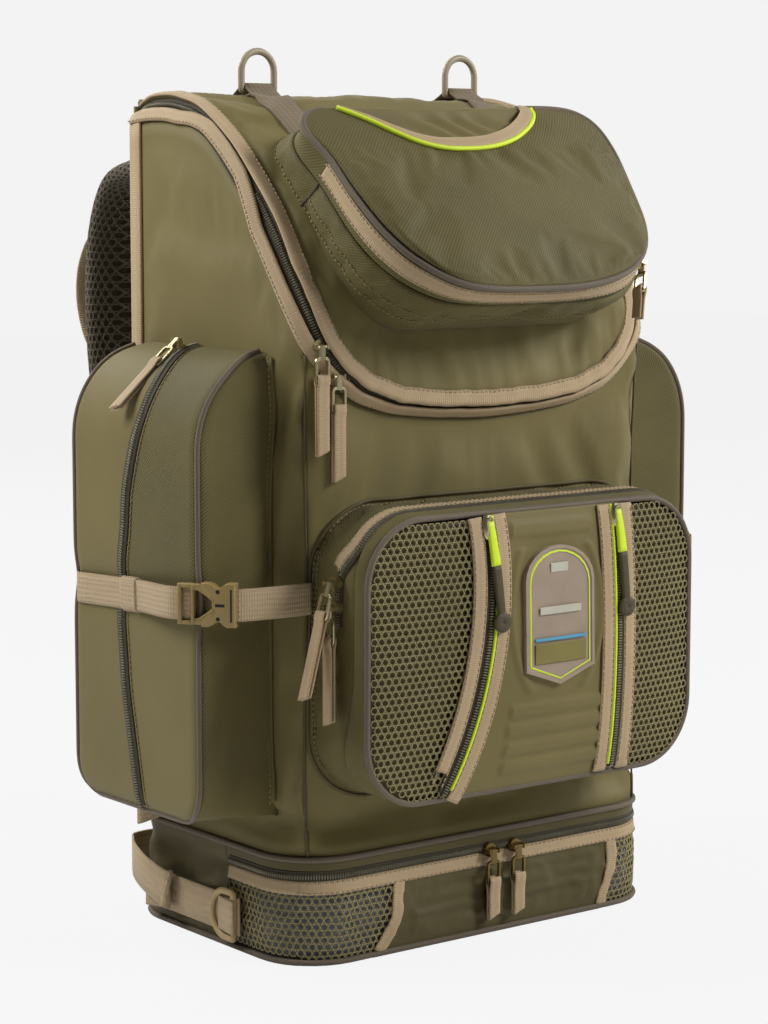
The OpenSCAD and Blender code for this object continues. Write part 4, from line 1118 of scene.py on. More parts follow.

# %% [markdown]
# ## The badge and the lime pulls
# The badge is a moulded rubber plate with a raised rim, a lime line and plain bands. It grows from one flat
# outline by extrude and inset. The two pulls on the net zips are lime above
# and olive below, with a round end.

# %% Badge
badge_half, shoulder_z = 28.5, 10
arch = [(badge_half * math.cos(a), 66 + 22 * math.sin(a)) for a in np.linspace(0, 1, 13) * math.pi]
outline = [(0, 0), (badge_half, shoulder_z)] + arch + [(-badge_half, shoulder_z)]
lime_levels = (4, 5)
levels = [(1.0, 3.4), (0.93, 3.4), (0.91, 2.6), (0.885, 2.6), (0.87, 3.0), (0.845, 3.0), (0.83, 2.4)]
bm = bmesh.new()


def badge_spot(x, z, lift):
    return Vector(on_door([(badge_x + x, badge_z + z)], lift)[0]) * mm


ring_verts = [bm.verts.new(badge_spot(x, z, -0.5)) for x, z in outline]
face_now = bm.faces.new(ring_verts)
for step, (scale, lift) in enumerate(levels):
    face_now = bmesh.ops.extrude_discrete_faces(bm, faces=[face_now])["faces"][0]
    for vert, (x, z) in zip(face_now.verts, outline):
        vert.co = badge_spot(x * scale, 44 + (z - 44) * (1 - (1 - scale) * 0.62), lift)
    if step in lime_levels:
        for side_face in {f for v in face_now.verts for f in v.link_faces if f is not face_now}:
            side_face.material_index = 1
bmesh.ops.triangulate(bm, faces=[face_now])
bmesh.ops.recalc_face_normals(bm, faces=bm.faces)
for low, high, mark, wide in ((14, 27, 3, 21), (28.5, 30.5, 4, 21), (45, 50, 2, 17), (71, 77, 2, 7)):
    bar = [(badge_x + x, badge_z + (low + high) / 2) for x in np.linspace(-wide, wide, 9)]
    strip = bmesh.new()
    band(strip, on_door(bar, 2.6), (0, -1, 0), flat_section(high - low, 0.9))
    for f in strip.faces:
        f.material_index = mark
    join(bm, strip)
badge_finishes = [badge_rubber, lime_rubber, badge_pale, badge_olive, badge_blue]
make(bm, "badge_plate", badge_finishes, "front_pocket_door", ["badge"], sharp=35)


# %% Lime pulls
def lime_pull(name, x, sway):
    spots = [(x + sway * k, 278 - 62 * k) for k in np.linspace(0, 1, 24)]
    line = np.array(on_door(spots, 4.2))
    bm = bmesh.new()
    band(bm, line[:11], (0, -1, 0), flat_section(7.5, 2.6, 0.3), grow=np.linspace(0.75, 1, 11))
    make(bm, name + "_lime", lime_rubber, name, [name])
    bm = bmesh.new()
    slider = door_line([(x, z) for z in (281, 279, 274, 269, 267)], 2.6)
    band(bm, *slider, flat_section(8.5, 2.6, 0.6), grow=[0.6, 0.9, 1, 0.9, 0.6])
    loop = [(x + a, b) for a, b in rounded(-2.6, 2.6, 270, 280, (2, 2, 2, 2), 24)]
    band(bm, on_door(loop, 4.6), (0, -1, 0), round_section(0.9, 6), ring=True)
    make(bm, name + "_body", pale_brass, name, sharp=40)
    bm = bmesh.new()
    band(bm, line[10:], (0, -1, 0), flat_section(7.5, 2.8, 0.3), grow=np.linspace(1, 0.8, 14))
    disc = rounded(-6, 6, -6, 6, (6, 6, 6, 6), 32)
    end = line[-1]
    button = [(3.2, 0), (2.6, 1.6), (0, 1.3), (-3.0, 1.1), (-3.2, 0), (-3.0, -1.1), (0, -1.3), (2.6, -1.6)]
    around = [(end[0] + 0.55 * a, end[1] - 0.3, end[2] + 0.55 * b) for a, b in disc]
    band(bm, around, (0, -1, 0), button, ring=True)
    make(bm, name + "_end", olive_rubber, name)


lime_pull("mesh_slider_left", -42, 5)
lime_pull("mesh_slider_right", 64, 4)

# %% [markdown]
# ## The side pockets
# Each side pocket is a lofted shell: a depth profile from foot to crown gives the rows, and each row is a
# plan from the rear seam to the front seam, with a small round at both outer corners. It settles as one piece
# and is then cut at the piping into the walls and the face. Below the strap the face is plain cloth, above it
# the part in front of the zip is ribbed.

# %% Side pocket shape
side_columns, side_rows, profile_steps = 100, 110, 300
crown_arc = [(4 + 58.5 * math.cos(a), 324 + 58 * math.sin(a)) for a in np.linspace(0, math.pi / 2, 16)]
profile = even([(0, 92), (52, 92), (59, 93.5), (62, 98), (62.5, 106)] + crown_arc + [(0, 382)], profile_steps)
rear_edge, front_edge = 0.22, 0.77


def rounded_end(gap, radius):
    return radius - math.sqrt(max(0, radius ** 2 - max(0, radius - gap) ** 2))


def side_place(s):
    def place(u, v):
        u = u if s < 0 else 1 - u
        depth, z = (np.interp(v * (profile_steps - 1), range(profile_steps), line) for line in profile.T)
        rear = 73.5 - max(rounded_end(z - 92, 24), rounded_end(384 - z, 14))
        front = -72 + max(rounded_end(z - 92, 24), rounded_end(384 - z, 20))
        r = min(8, depth)
        turn = [math.radians(a) for a in (0, 22.5, 45, 67.5, 90)]
        line = [(0, rear), (depth - r, rear)]
        line += [(depth - r + r * math.sin(a), rear - r + r * math.cos(a)) for a in turn]
        line += [(depth - r + r * math.cos(a), front + r - r * math.sin(a)) for a in turn] + [(0, -66)]
        knots = [0, 0.2, 0.2001, 0.21, 0.22, 0.23, 0.24, 0.75, 0.76, 0.77, 0.78, 0.7899, 1]
        d, y = (np.interp(u, knots, side) for side in np.array(line).T)
        return s * (140 + d), y, z
    return place


def row_at(value, column):
    """The v of the profile where its depth (column 0) or height (column 1) first reaches a value."""
    hits = np.nonzero(profile[:, column] >= value)[0]
    return hits[0] / (profile_steps - 1)


def side_held(u, v):
    u = min(u, 1 - u)
    return 1.0 if u < 0.02 or v < 0.17 or v > 0.985 else 0.25 if abs(u - 0.225) < 0.02 else 0.02


print("side pocket: depth", round(max(profile[:, 0]), 1), "mm, height", round(np.ptp(profile[:, 1])), "mm")

# %% Side pocket pieces
zip_side = [(14, 382), (0, 375), (-9, 362), (-9, 345), (-2, 322), (4, 305), (9, 279), (14.5, 243),
            (12.5, 190), (7.5, 150), (1, 124), (-4, 95)]
zip_heights = [-z for y, z in zip_side]
zip_places = [y for y, z in zip_side]
shells = {}
for side, s in both_sides:
    shell = shells[s] = surface(side_columns, side_rows, side_place(s))
    settle(shell, side_held, push=0.8, slack=0.02, cap=4)
    pinch = np.exp(-((shell.points[..., 2] - strap_z) / 12) ** 2) * (np.abs(shell.points[..., 0]) > 190)
    shell.points[..., 0] -= s * 2.5 * pinch
    low = row_at(57.5, 0)

    def across(u):
        return u if s < 0 else 1 - u

    def on_face(u, v):
        return rear_edge < across(u) < front_edge and v > low

    def face_finish(u, v):
        _, y, z = shell.points[round(v * side_rows), round(u * side_columns)]
        return int(z > strap_z and y < np.interp(-z, zip_heights, zip_places))

    bm = bmesh.new()
    shell.lay(bm, lambda u, v: not on_face(u, v), lambda u, v: int(across(u) < 0.5))
    seam_line = np.linspace((s * 141, -66, 104), (s * 141, -67.5, 379), 60)
    seam, seam_out = calm(on_body(seam_line, 1.5))
    band(bm, seam, seam_out, flat_section(9, 1.4, 0.3, -s * 1.5))
    make(bm, f"side_gusset_{side}", [twill, pack_cloth], "pack",
         [f"side_pocket_{side}_gusset"], thick=1.0)
    trim(f"side_gusset_stitches_{side}", thread_olive, "pack", "olive_cloth", stitches,
         (seam + seam_out * 0.8, seam_out), side=-s * 0.5)
    bm = bmesh.new()
    shell.lay(bm, on_face, face_finish)
    make(bm, f"side_face_{side}", [pack_cloth, twill], "pack",
         [f"side_pocket_{side}_face"], thick=1.2)
    down = [(across(rear_edge), v) for v in np.linspace(0.95, low, 120)]
    foot = [(across(u), low) for u in np.linspace(rear_edge, front_edge, 60)[1:-1]]
    up = [(across(front_edge), v) for v in np.linspace(low, 0.975, 120)]
    trim(f"side_piping_{side}", cord_brown, "pack", "tan_webbing", band,
         calm(shell.at(down + foot + up, 0.7), 5), section=round_section(1.7))

    line = []
    for y, z in even(zip_side, 120):
        v = row_at(z, 1) if z < 381 else 0.99
        at_row = shell.points[round(v * side_rows)]
        columns = np.arange(27, 74)
        line.append((columns[np.argmin(np.abs(at_row[columns, 1] - y))] / side_columns, v))
    line = curve(line[::10] + line[-1:], 200)
    trim(f"side_zip_tape_{side}", zip_tape, "pack", "zip_cloth", band, calm(shell.at(line, 0.4)),
         section=flat_section(10, 1.2, 0.2))
    points, normals = calm(shell.at(line, 1.3))
    trim(f"side_coil_{side}", coil_nylon, "pack", "zip_cloth", coil, (points, normals), width=5.4)
    bm = bmesh.new()
    for shift in (0.4, 3.4):
        stitches(bm, seam, seam_out, side=-s * shift, lift=1.0)
    stitches(bm, points, normals, side=-s * 7.0, lift=-0.8)
    make(bm, f"side_stitches_{side}", thread_olive, "pack")

# %% [markdown]
# ## The base compartment
# A wall follows the rounded plan of the base. The front opens as a flap: a plain middle with a net at each
# corner, a tan tape above and a zip under the banded rim. One ring of cloth is laid and cut at the zip and at
# the two ends of the flap, so that the seams meet.

# %% Base wall and flap
flap_seam_y, base_tape_z, base_zip_z = -90.8, 49.8, 57
base_loop = rounded(-150, 150, -102.5, body_half_depth, (40, 40, 40, 40), base_steps)
base_girth = length_of(np.vstack([base_loop, base_loop[:1]]))


def base_place(u, v):
    x, y = base_loop[round(u * base_steps) % base_steps]
    z = base_top * v
    out = np.interp(z, [0, 3, 8, 30, 46, 54, base_zip_z, 60, 66, base_top],
                    [0.4, 0.6, 1, 1.8, 0.8, -0.6, -0.6, 0.4, 0.6, -1])
    if y < -100 and -62 < x < 92:
        out += 0.9 * sum(math.exp(-((z - c) / 2.6) ** 4) for c in (14, 23, 32, 41))
    if y > -20 and 6 < z < 62:
        out += 1.6 * math.sin(y / 11 + z / 7) * math.sin(z / 9 + y / 23)
    push = unit(np.array((x / 150, (y + 5) / 97.5)))
    return x + push[0] * out, y + push[1] * out, z


ring = surface(base_steps, 35, base_place, ring=True)
settle(ring, seams(0, 0.12, 0.62, 0.05), push=0.4, slack=0.02, cap=2.5)
flap_end = next(k for k in range(base_steps) if base_loop[k, 1] > flap_seam_y) / base_steps
left_tape = ([1, 13, 26, 48], [-91, -81, -75, -72.5])
right_tape = ([6, 14, 32, 50], [97, 101, 105.3, 106])


def base_part(u, v):
    x, y = base_loop[round(u * base_steps) % base_steps]
    z = base_top * v
    if z > 54 and y < -28:
        return "rim"
    if y > flap_seam_y:
        return "side net" if y < -33 + (51 - z) * 0.38 and 5 < z else "wall"
    return "flap net" if x < np.interp(z, *left_tape) or x > np.interp(z, *right_tape) else "flap"


def behind_net(u, v, which):
    """The straight-sided piece of lining behind a net, wider than the net itself."""
    x, y = base_loop[round(u * base_steps) % base_steps]
    if v > 0.78:
        return False
    if which == "flap net":
        return y <= flap_seam_y and not -64 < x < 92
    return flap_seam_y < y < -14


def base_net(bm, u0, u1, which):
    def place(run, z):
        return run / base_girth % 1, z / base_top

    net(bm, u0 * base_girth, u1 * base_girth, 4, 50, lambda run, z: base_part(*place(run, z)) == which,
        lambda spots: ring.at([place(*spot) for spot in spots])[0])


# %% Base cloth and nets
# The wall, rim and flap wear the darker cloth. Part of its darkness is painted shade.
for name, which, body_name, nodes in (("base_wall_cloth", "wall", "pack", ["base_wall"]),
                                      ("base_rim_cloth", "rim", "pack", ["base_rim"]),
                                      ("base_flap_cloth", "flap", "base_flap", ["base_flap_panel"])):
    bm = bmesh.new()
    ring.lay(bm, lambda u, v: base_part(u, v) == which)
    make(bm, name, dark_olive_and_shade, body_name, nodes, thick=1.2)
for name, which, body_name, nodes in (("base_side_net", "side net", "pack", []),
                                      ("base_flap_net", "flap net", "base_flap", ["base_flap_mesh"])):
    bm = bmesh.new()
    base_net(bm, -0.34, 0, which)
    base_net(bm, 0, 0.34, which)
    make(bm, name, net_cord, body_name, nodes, thick=0.9)
    back = Skin(ring.points - ring.normals() * 4.5, True)
    bm = bmesh.new()
    back.lay(bm, lambda u, v: behind_net(u, v, which))
    make(bm, name + "_lining", grey_lining, body_name, thick=0.8)


# %% Base tapes, piping and zip
def base_run(u0, u1, z, lift=0.5, count=160):
    return ring.at([(u % 1, z / base_top) for u in np.linspace(u0, u1, count)], lift)


def base_u(x):
    """The place along the front of the base loop, below or above zero, where x is reached."""
    u = np.argmin(np.abs(base_loop[:, 0] - x) + (base_loop[:, 1] > -80) * 999) / base_steps
    return u - 1 if u > 0.5 else u


base_tape = flat_section(9, 1.3, 0.3)
zip_end_u = next(k for k in range(base_steps) if base_loop[k, 1] > -30) / base_steps
flap_lines = [base_run(-flap_end, flap_end, base_tape_z)]
for heights, places in (left_tape, right_tape):
    spots = [(base_u(np.interp(z, heights, places)) % 1, z / base_top) for z in np.linspace(3, 47, 24)]
    flap_lines.append(calm(ring.at(spots, 0.6), 7))
trim("base_flap_tapes", grosgrain, "base_flap", "tan_webbing", band, *flap_lines, section=base_tape)
bm = bmesh.new()
for side in (-3.4, 3.4):
    stitches(bm, *base_run(-flap_end, flap_end, base_tape_z, 1.2), side=side)
make(bm, "base_flap_stitches", thread_tan, "base_flap")
trim("base_wall_tapes", grosgrain, "pack", "tan_webbing", band, base_run(flap_end, zip_end_u, base_tape_z),
     base_run(-zip_end_u, -flap_end, base_tape_z), section=base_tape)
piping_lines = [base_run(0, 1 - 1 / base_steps, z, 0.8, count=base_steps) for z in (67.5, 2.5)]
trim("base_piping", cord_brown, "pack", "tan_webbing", band, *piping_lines,
     section=round_section(1.9), ring=True)
trim("base_zip_tape", zip_tape, "pack", "zip_cloth", band,
     base_run(-zip_end_u, zip_end_u, base_zip_z, 0.2, 300), section=flat_section(7.5, 1.0, 0.2))
trim("base_coil", coil_nylon, "pack", "zip_cloth", coil,
     base_run(-zip_end_u, zip_end_u, base_zip_z, 1.1, 400), width=4.8)

# %% [markdown]
# ## Side straps
# A tan webbing goes round each side pocket at half height. It is one flat section carried along the settled
# cloth, so it sits on the pocket, then lifts off to the buckle and comes back to the body on the other side.
# From the keeper to the buckle the webbing is doubled, because the loose end is folded back.


# %% Side straps and keepers
def outward(points):
    run = np.gradient(np.array(points, float), axis=0)
    return unit(np.cross(run, (0, 0, 1.0)))


bm = bmesh.new()
keepers = bmesh.new()
strap_width = 20
strap_row = row_at(strap_z, 1)
for s, shell in shells.items():
    spots = [(u if s < 0 else 1 - u, strap_row) for u in np.linspace(0.01, 0.56, 60)]
    on_cloth, _ = calm(shell.at(spots, 3.0), 5)
    reach = [(206.5, -28), (209, -40), (210.4, -54), (208, -60), (204, -67.5)]
    rear = curve(np.vstack([on_cloth[::4], [(s * x, y, strap_z) for x, y in reach]]), 120)
    rear[:, 2] = strap_z - 6 * np.clip((rear[:, 1] + 55) / 125, 0, 1)
    band(bm, rear, outward(rear) * -s, flat_section(strap_width, 1.5))
    doubled = rear[rear[:, 1] < 2][4:-3]
    doubled = doubled[doubled[:, 0] * s > 190]
    band(bm, doubled + outward(doubled) * -s * 1.7, outward(doubled) * -s, flat_section(strap_width, 1.4))
    forward = [(187.5, -87.8), (184.5, -91.5), (174, -94), (158, -95.5), (142, -96), (135, -95.8)]
    front = curve([(s * x, y, strap_z) for x, y in forward], 40)
    band(bm, front, outward(front) * -s, flat_section(strap_width, 1.5))
    near = rear[(rear[:, 1] < 11) & (rear[:, 1] > -8) & (rear[:, 0] * s > 190)]
    band(keepers, near, outward(near) * -s, flat_section(22.5, 4.6, 0.3))
    edge = near[-3:] + outward(near[-3:]) * -s * 1.2
    band(keepers, edge, outward(near)[-3:] * -s, flat_section(22.5, 4.2, 0.3))
    fold = [(141, 66, 76), (150, 67, 74), (160, 64, 73), (162, 58, 75), (152, 53, 78), (141, 53, 80)]
    tab = curve([(s * x, y, z) for x, y, z in fold], 30)
    band(bm, tab, outward(tab) * -s, flat_section(17, 1.5))
make(bm, "side_straps", webbing_tan, "pack", ["compression_straps"])
make(keepers, "strap_keepers", webbing_tan, "pack")

# %% [markdown]
# ## Side-release buckles
# A buckle is two plates. The socket has a waist where the fingers press and a notch that shows the clip. The
# clip is a frame with a bar for the webbing and two arms that reach into the socket. Each outline is one
# face, extruded and with bevelled edges. The small holes are not cut: flat dark dimples laid on top stand
# for them, and their dark colour is painted shade.


# %% Buckle plates
def plate(bm, outline, low, high, where, mark=0, round_edge=0.6):
    """Extrudes an outline of (along, up) pairs from low to high and bevels its edges."""
    made = bmesh.new()
    face = made.faces.new([made.verts.new((a * mm, b * mm, low * mm)) for a, b in outline])
    top = bmesh.ops.extrude_face_region(made, geom=[face])["geom"]
    raised = [v for v in top if isinstance(v, bmesh.types.BMVert)]
    bmesh.ops.translate(made, verts=raised, vec=(0, 0, (high - low) * mm))
    bmesh.ops.recalc_face_normals(made, faces=made.faces)
    if round_edge:
        flat = [e for e in made.edges if abs(e.verts[0].co.z - e.verts[1].co.z) < 1e-6]
        bmesh.ops.bevel(made, geom=flat, offset=round_edge * mm, segments=2, profile=0.5, affect="EDGES")
    bmesh.ops.triangulate(made, faces=[f for f in made.faces if len(f.verts) > 4])
    for face in made.faces:
        face.material_index = mark
    bmesh.ops.transform(made, matrix=where, verts=made.verts)
    bmesh.ops.recalc_face_normals(made, faces=made.faces)
    join(bm, made)


def buckle_place(s):
    turn = Matrix(((-0.6157 * s, 0, 0.788 * s), (-0.788, 0, -0.6157), (0, -s, 0)))
    return Matrix.Translation(Vector((s * 199.36, -72.7, strap_z)) * mm) @ turn.to_4x4()


def box(a0, a1, b0, b1):
    return [(a0, b0), (a1, b0), (a1, b1), (a0, b1)]


def dot(a, b, radius):
    turns = np.linspace(0, 2 * math.pi, 14, endpoint=False)
    return [(a + radius * math.cos(t), b + radius * math.sin(t)) for t in turns]


print("a dimple has", len(dot(0, 0, 1.3)), "sides")

# %% Buckle sockets and clips
upper = [(21.8, 13.4), (16.5, 13.4), (14.2, 12), (12.6, 10.2), (9.6, 10.2), (7.6, 12.2), (4.5, 13.4),
         (0.6, 13.4), (0.6, 10.4), (7.4, 2.2)]
socket = upper + [(a, -b) for a, b in reversed(upper)]
arm = [(-5, 12.4), (-5, 8.5), (-2, 8.5), (8, 1.8), (8, 5.5), (0, 12.4)]
sockets = bmesh.new()
for side, s in both_sides:
    where = buckle_place(s)
    plate(sockets, socket, -4.5, 4.5, where)
    # The slots and the two holes are flat plates coloured with painted hole shade.
    for outline in (box(9.5, 15.5, -0.9, 0.9), dot(11.2, 8.3, 1.3), dot(11.2, -8.3, 1.3),
                    box(19.0, 20.2, -10, 10)):
        plate(sockets, outline, 4.3, 4.6, where, 1, 0)
    ridge = [(9, 2.6), (6.5, 5.6), (5.6, 5.2), (8.4, 1.6)]
    for sign in (1, -1):
        plate(sockets, [(a, b * sign) for a, b in ridge], 4.3, 4.8, where, 0, 0.15)
    bm = bmesh.new()
    for outline in (box(-15, -12.4, -12.4, 12.4), box(-6.6, -4.4, -12.4, 12.4), box(-12.5, -6.5, 10, 12.4),
                    box(-12.5, -6.5, -12.4, -10)):
        plate(bm, outline, -3.0, 3.4, where)
    for sign in (1, -1):
        plate(bm, [(a, b * sign) for a, b in arm], -2.6, 2.8, where)
    clip = f"buckle_clip_{side}"
    make(bm, clip + "_frame", khaki_plastic, clip, [clip], sharp=40)
make(sockets, "buckle_sockets_moulded", [khaki_plastic, hole_shade_paint], "pack",
     ["buckle_sockets"], sharp=40)

# %% [markdown]
# ## Webbing on the lid and the base
# Two short webbings hold the rings on the lid. On each side of the base a longer webbing is folded into a
# zigzag, as it is packed for sale, and its front end holds a ring in a sewn loop.

# %% Lid and base webbing
bm = bmesh.new()
for u in (0.27, 0.73):
    points, normals = calm(lid.at([(u, v) for v in np.linspace(0, 1, 200)], 1.0))
    keep = (points[:, 1] > -26) & (points[:, 1] < 48) & (points[:, 2] > 450)
    band(bm, points[keep], normals[keep], flat_section(23, 1.5))
    x, y, z = points[keep][np.argmin(np.abs(points[keep][:, 1] - 33))]
    loop = [(-14, z), (-6, 544.5), (-2.5, 547.6), (0.5, 547.6), (4, 544.5), (12, z)]
    over = curve([(x, y + a, b) for a, b in loop], 24)
    band(bm, over, unit(np.cross((1.0, 0, 0), np.gradient(over, axis=0))), flat_section(23, 1.4))
make(bm, "lid_webbing", webbing_brown, "lid", ["lid_straps"])
bm = bmesh.new()
for s in (-1, 1):
    fold = [(155.5, -46, 24), (155.5, -20, 24), (155.5, 10, 24), (155.5, 44, 24), (156.5, 54, 24),
            (158.5, 55.5, 24), (160.5, 53, 24.5), (160, 38, 26), (160, 30, 27), (161.5, 26.5, 28),
            (164, 27, 29), (164.5, 38, 31), (163, 54, 34), (159, 70, 37), (152, 84, 38), (142, 94.5, 38),
            (110, 95, 38)]
    points = curve([(s * x, y, z) for x, y, z in fold], 160)
    band(bm, points, outward(points) * -s, flat_section(25, 1.5))
    tab = [(156, -30), (157, -40), (159.8, -45), (160.5, -42), (159.5, -36), (157.5, -26)]
    points = curve([(s * x, y, 24) for x, y in tab], 40)
    band(bm, points, outward(points) * -s, flat_section(22, 1.4))
make(bm, "base_webbing", webbing_tan, "pack", ["base_straps"])

# %% [markdown]
# ## The back
# The back panel carries padded cloth: two long pads, a lumbar pad, two shoulder straps and a haul handle. A
# pad is a grid crowned over its outline with its edge tucked down. The straps are one soft section carried
# along a bent line. The pads wear a spacer net as a finish, the straps a real one, because it shows in the
# outline of the pack.


# %% Spacer net finish
def spacer(name, light, dark, pitch=5.0):
    made, nodes, links = tree(name)
    out = node(nodes, "ShaderNodeOutputMaterial")
    shade = node(nodes, "ShaderNodeBsdfPrincipled", Roughness=0.85)
    links.new(shade.outputs[0], out.inputs["Surface"])
    where = node(nodes, "ShaderNodeUVMap", uv_map="cloth")
    holes = node(nodes, "ShaderNodeTexVoronoi", feature="F1", Scale=1000 / pitch)
    holes.inputs["Randomness"].default_value = 0.25
    links.new(where.outputs[0], holes.inputs["Vector"])
    edge = node(nodes, "ShaderNodeMapRange")
    edge.inputs["From Min"].default_value = 0.3
    edge.inputs["From Max"].default_value = 0.5
    links.new(holes.outputs["Distance"], edge.inputs["Value"])
    mix = node(nodes, "ShaderNodeMix", data_type="RGBA")
    mix.inputs[6].default_value = linear(*dark)
    mix.inputs[7].default_value = linear(*light)
    links.new(edge.outputs["Result"], mix.inputs[0])
    links.new(mix.outputs[2], shade.inputs["Base Color"])
    bump = node(nodes, "ShaderNodeBump", Strength=0.8)
    bump.inputs["Distance"].default_value = 0.0012
    links.new(edge.outputs["Result"], bump.inputs["Height"])
    links.new(bump.outputs[0], shade.inputs["Normal"])
    return made


spacer_net = spacer("spacer net", (84, 76, 60), (26, 24, 20))
print("finish:", spacer_net.name)


# %% Back panel and pads
def back_place(u, v):
    crown = 2.5 * math.sin(math.pi * u) * math.sin(math.pi * v)
    return 140 - 280 * u, body_half_depth + crown, base_top + 464 * v


back = surface(60, 80, back_place)
settle(back, seams(0.03, 0.03, 0.97, 0.03), push=0.3, slack=0.01, cap=2)
bm = bmesh.new()
back.lay(bm)
make(bm, "back_panel_cloth", pack_cloth, "pack", ["back_panel"], thick=1.5)
roll = [(x, body_half_depth, 535.8) for x in np.linspace(-135, 135, 28)]
trim("lid_hinge_roll", pack_cloth, "pack", "olive_cloth", band, (roll, (0, 0, 1)),
     section=round_section(2.9, 12))


def pillow(x0, x1, z0, z1, radius, height):
    loop = rounded(-x1, -x0, z0, z1, (radius,) * 4, 120)
    columns, rows = 28, 44
    flat = patch(np.column_stack([loop, np.zeros(120)]), [105, 15, 45, 75], columns, rows)
    grid = []
    for row, points in enumerate(flat.points):
        line = []
        for column, (x, z, _) in enumerate(points):
            inwards = min(column / columns, 1 - column / columns) * 2
            upwards = min(row / rows, 1 - row / rows) * 2
            rise = (1 - (1 - inwards) ** 4) * (1 - (1 - upwards) ** 6)
            line.append((-x, 94 + height * rise ** 0.6, z))
        grid.append(line)
    return Skin(grid)


bm = bmesh.new()
for x0, x1, z0, z1 in ((-74, -12, 158, 467), (12, 74, 158, 467), (-74, 74, 86, 146)):
    cushion = pillow(x0, x1, z0, z1, 18, 11)
    settle(cushion, seams(0.02, 0.02, 0.98, 0.0), push=0.5, slack=0.01, cap=3)
    cushion.lay(bm)
make(bm, "back_pad_cloth", spacer_net, "pack", ["back_pads"], thick=2)

# %% Shoulder straps and handle
strap_line = [(0, 1), (0.26, 1), (0.68, 0.97), (0.92, 0.87), (1, 0.73), (0.96, 0.56), (0.78, 0.37),
              (0.48, 0.19), (0.26, 0.07), (0.184, 0)]


def soft_section(half, rise, sides=24):
    """A flattened round, squarer than an ellipse, as a padded strap is."""
    def fuller(value, power):
        return math.copysign(abs(value) ** power, value)

    turns = np.linspace(0, 2 * math.pi, sides, endpoint=False) + math.pi / 2
    return [(half * fuller(math.cos(a), 0.6), rise * fuller(math.sin(a), 0.7)) for a in turns]


def over_back(line):
    """Normals of a line that bends in an upright plane."""
    return unit(np.cross((1.0, 0, 0), np.gradient(line, axis=0)))


webs = bmesh.new()
web_section, net_section = flat_section(25, 1.5), soft_section(27.6, 7.8, 48)
for side, s in both_sides:
    points = curve([(s * 105, body_half_depth + 74 * a, 190 + 304 * b) for a, b in strap_line], 90)
    normals = over_back(points)
    trim(f"shoulder_strap_{side}_core", zip_tape, "pack", "dark_cloth", band, (points, normals),
         section=soft_section(27, 7.2))
    _, wide, up = frames_of(points, normals)
    sleeve = Skin([[p + a * w + b * t for w, t in net_section + net_section[:1]]
                   for p, a, b in zip(points, wide, up)], True)
    girth, length = sleeve.sizes()
    bm = bmesh.new()
    net(bm, 3, girth - 3, 3, length - 3, lambda x, y: True,
        lambda spots: sleeve.at([(x / girth, y / length) for x, y in spots])[0], pitch=6.0, thread=2.0)
    strap = f"shoulder_strap_{side}"
    make(bm, strap + "_pad", strap_net, "pack", [strap], thick=1.2)
    web = np.array([(s * 108, 106.5, z) for z in np.linspace(93, 188, 20)])
    band(webs, web, (0, 1, 0), web_section)
    band(webs, points[6:78] + up[6:78] * 9.5, up[6:78], web_section)
    bow = [(115, 166, 452), (116, 176, 442), (117, 184, 424), (117, 185, 402), (116, 178, 380),
           (115, 166, 366)]
    lifter = curve([(s * x, y, z) for x, y, z in bow], 40)
    band(webs, lifter, over_back(lifter), web_section)
make(webs, "shoulder_webs", webbing_tan, "pack", ["shoulder_webbing"])
half_handle = [(62, 97, 517), (50, 99.5, 518), (30, 106, 519)]
points = curve(both_halves(half_handle, (0, 108.5, 520)), 50)
bm = bmesh.new()
band(bm, points, outward(points) * -1, soft_section(13, 3.7))
make(bm, "haul_handle_pad", webbing_tan, "pack", ["haul_handle"])

# %% [markdown]
# ## Sliders, pulls and other hard pieces
# The plain solids of the adjusters and sliders already have the right shape, so they only get a finish. The
# rings and the pulls are remade. A pull is a metal loop, a plate and a folded ribbed tape cut at a slant.
# Each is built lying at the origin and moved to its place by one matrix, so all share one recipe.


# %% Finishes of the plain solids
def finish_nodes(finish, *names):
    for name in names:
        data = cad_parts[name].data
        data.materials.clear()
        data.materials.append(finish)


sliders = [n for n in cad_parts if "slider" in n and "mesh" not in n]
finish_nodes(pale_brass, *[n for n in sliders if "base" not in n])
finish_nodes(old_brass, *[n for n in sliders if "base" in n])
finish_nodes(khaki_plastic, "strap_adjuster_left", "strap_adjuster_right")
finish_nodes(board_black, "base_board", "frame_sheet", "divider_floor")
print("finished plain solids:", len(sliders), "sliders")


# %% Rings
def moved(x, y, z):
    return Matrix.Translation(Vector((x, y, z)) * mm)


def turned(degrees, axis):
    return Matrix.Rotation(math.radians(degrees), 4, axis)


def d_ring(name, where, wide, tall, finish):
    half = wide / 2
    bow = [(half * math.cos(a), tall - half + half * math.sin(a)) for a in np.linspace(0, math.pi, 17)]
    loop = even([(0, 0), (half, 0)] + bow + [(-half, 0)], 72, ring=True)
    bm = bmesh.new()
    band(bm, [(a, b, 0) for a, b in loop], (0, 0, 1), round_section(2.3, 10, 0.85), ring=True)
    bmesh.ops.transform(bm, matrix=where, verts=bm.verts)
    make(bm, name + "_moulded", finish, name, [name])


for side, s in both_sides:
    spot = moved(s * 84, 31.35, 543.85) @ turned(90, "X")
    d_ring(f"ring_top_{side}", spot, 25.5, 25, tan_plastic)
    spot = moved(s * 157.5, -42, 24) @ turned(-90, "Y")
    d_ring(f"ring_base_{side}", spot, 30, 24, sand_plastic)


# %% Pulls
def station(p, kind, *turns):
    """Where a pull hangs: its pivot, the side of the pack it lies on, and how far it is swung."""
    rows = {"front": ((1, 0, 0), (0, 0, -1), (0, 1, 0)), "left": ((0, 0, -1), (-1, 0, 0), (0, 1, 0)),
            "right": ((0, 0, 1), (1, 0, 0), (0, 1, 0))}[kind]
    where = moved(*p) @ Matrix(rows).to_4x4()
    for degrees in turns:
        where = where @ turned(degrees, "X")
    return where


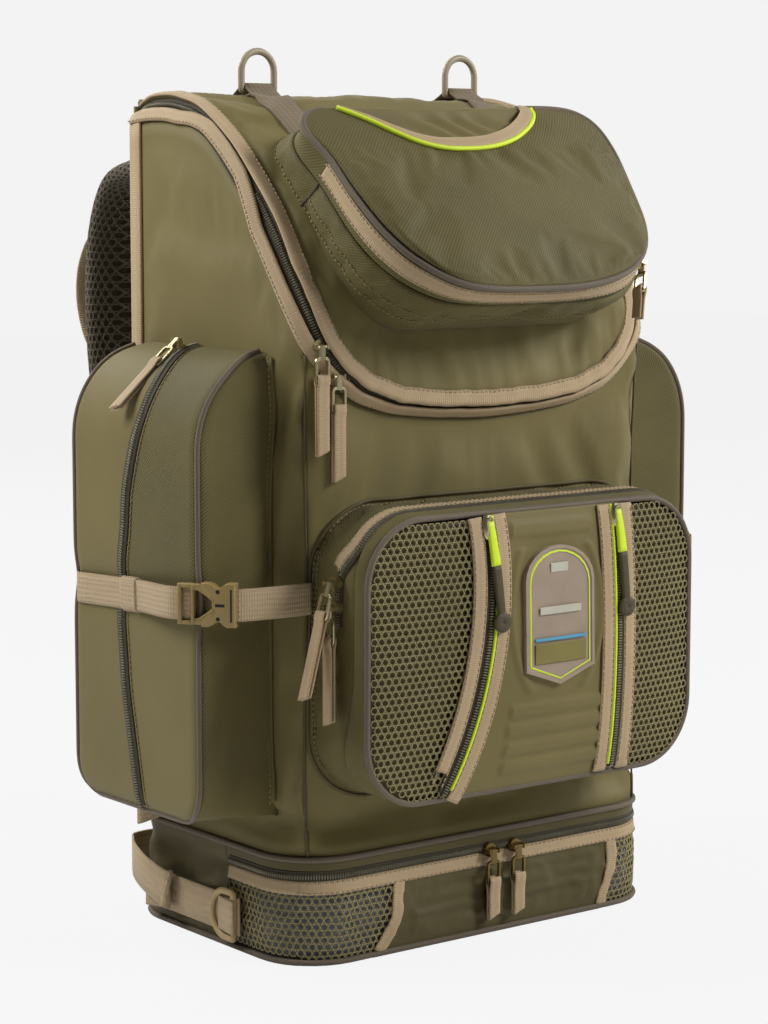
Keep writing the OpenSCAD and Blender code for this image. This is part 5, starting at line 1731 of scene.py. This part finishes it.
def pull(name, where, tape, metal=pale_brass):
    bm = bmesh.new()
    loop = rounded(-4.6, 4.6, -22, -7, (2, 2, 2, 2), 40)
    band(bm, [(x, y, 0) for x, y in loop], (0, 0, 1), flat_section(2.2, 1.8, 0.1), ring=True)
    band(bm, [(0, y, 0) for y in (1.2, 0, -4, -8)], (0, 0, 1), flat_section(5.2, 2.2, 0.3))
    bmesh.ops.transform(bm, matrix=where, verts=bm.verts)
    make(bm, name + "_tab", metal, name, [name], sharp=40)
    bm = bmesh.new()
    line = curve([(0, -17, 1.4), (0, -19, 2.2), (0, -22.5, 2.0), (0, -28, 1.3), (0, -16 - tape, 1.2)], 40)
    for fold in (1, -1):
        band(bm, line * np.array((1, 1, fold)), (0, 0, 1), flat_section(9.4, 1.2, 0.15))
    geom = bm.verts[:] + bm.edges[:] + bm.faces[:]
    cut = Vector((0.4, -1, 0)).normalized()
    cut_place = Vector((0, -13 - tape, 0)) * mm
    bmesh.ops.bisect_plane(bm, geom=geom, dist=1e-6, plane_co=cut_place, plane_no=cut, clear_outer=True)
    bmesh.ops.holes_fill(bm, edges=[e for e in bm.edges if e.is_boundary], sides=0)
    bmesh.ops.transform(bm, matrix=where, verts=bm.verts)
    make(bm, name + "_tape", grosgrain, name)


on_pocket = moved(0, slope_y, slope_z) @ turned(65, "X") @ moved(62, -53, 53) @ turned(-25, "Z")
on_pocket = on_pocket @ moved(57.3, 0, 0) @ turned(90, "Y")
pull("lid_pull_upper", station((-128.9, -99.8, 385.9), "front"), 52)
pull("lid_pull_lower", station((-116.5, -99.8, 367.5), "front"), 50)
pull("lid_pocket_pull", on_pocket, 28)
pull("side_pull_left", station((-162.2, 10, 386.1), "left", -72, 23.7), 48)
pull("side_pull_right", station((162.2, 10, 386.1), "right", -72, 23.7), 48)
pull("front_pull_upper", station((-141.3, -122.8, 245), "left", -15), 58)
pull("front_pull_lower", station((-141.3, -122.8, 230), "left"), 58)
pull("base_pull_left", station((0, -109.8, 56), "front"), 30, old_brass)
pull("base_pull_right", station((21, -109.8, 56), "front"), 30, old_brass)
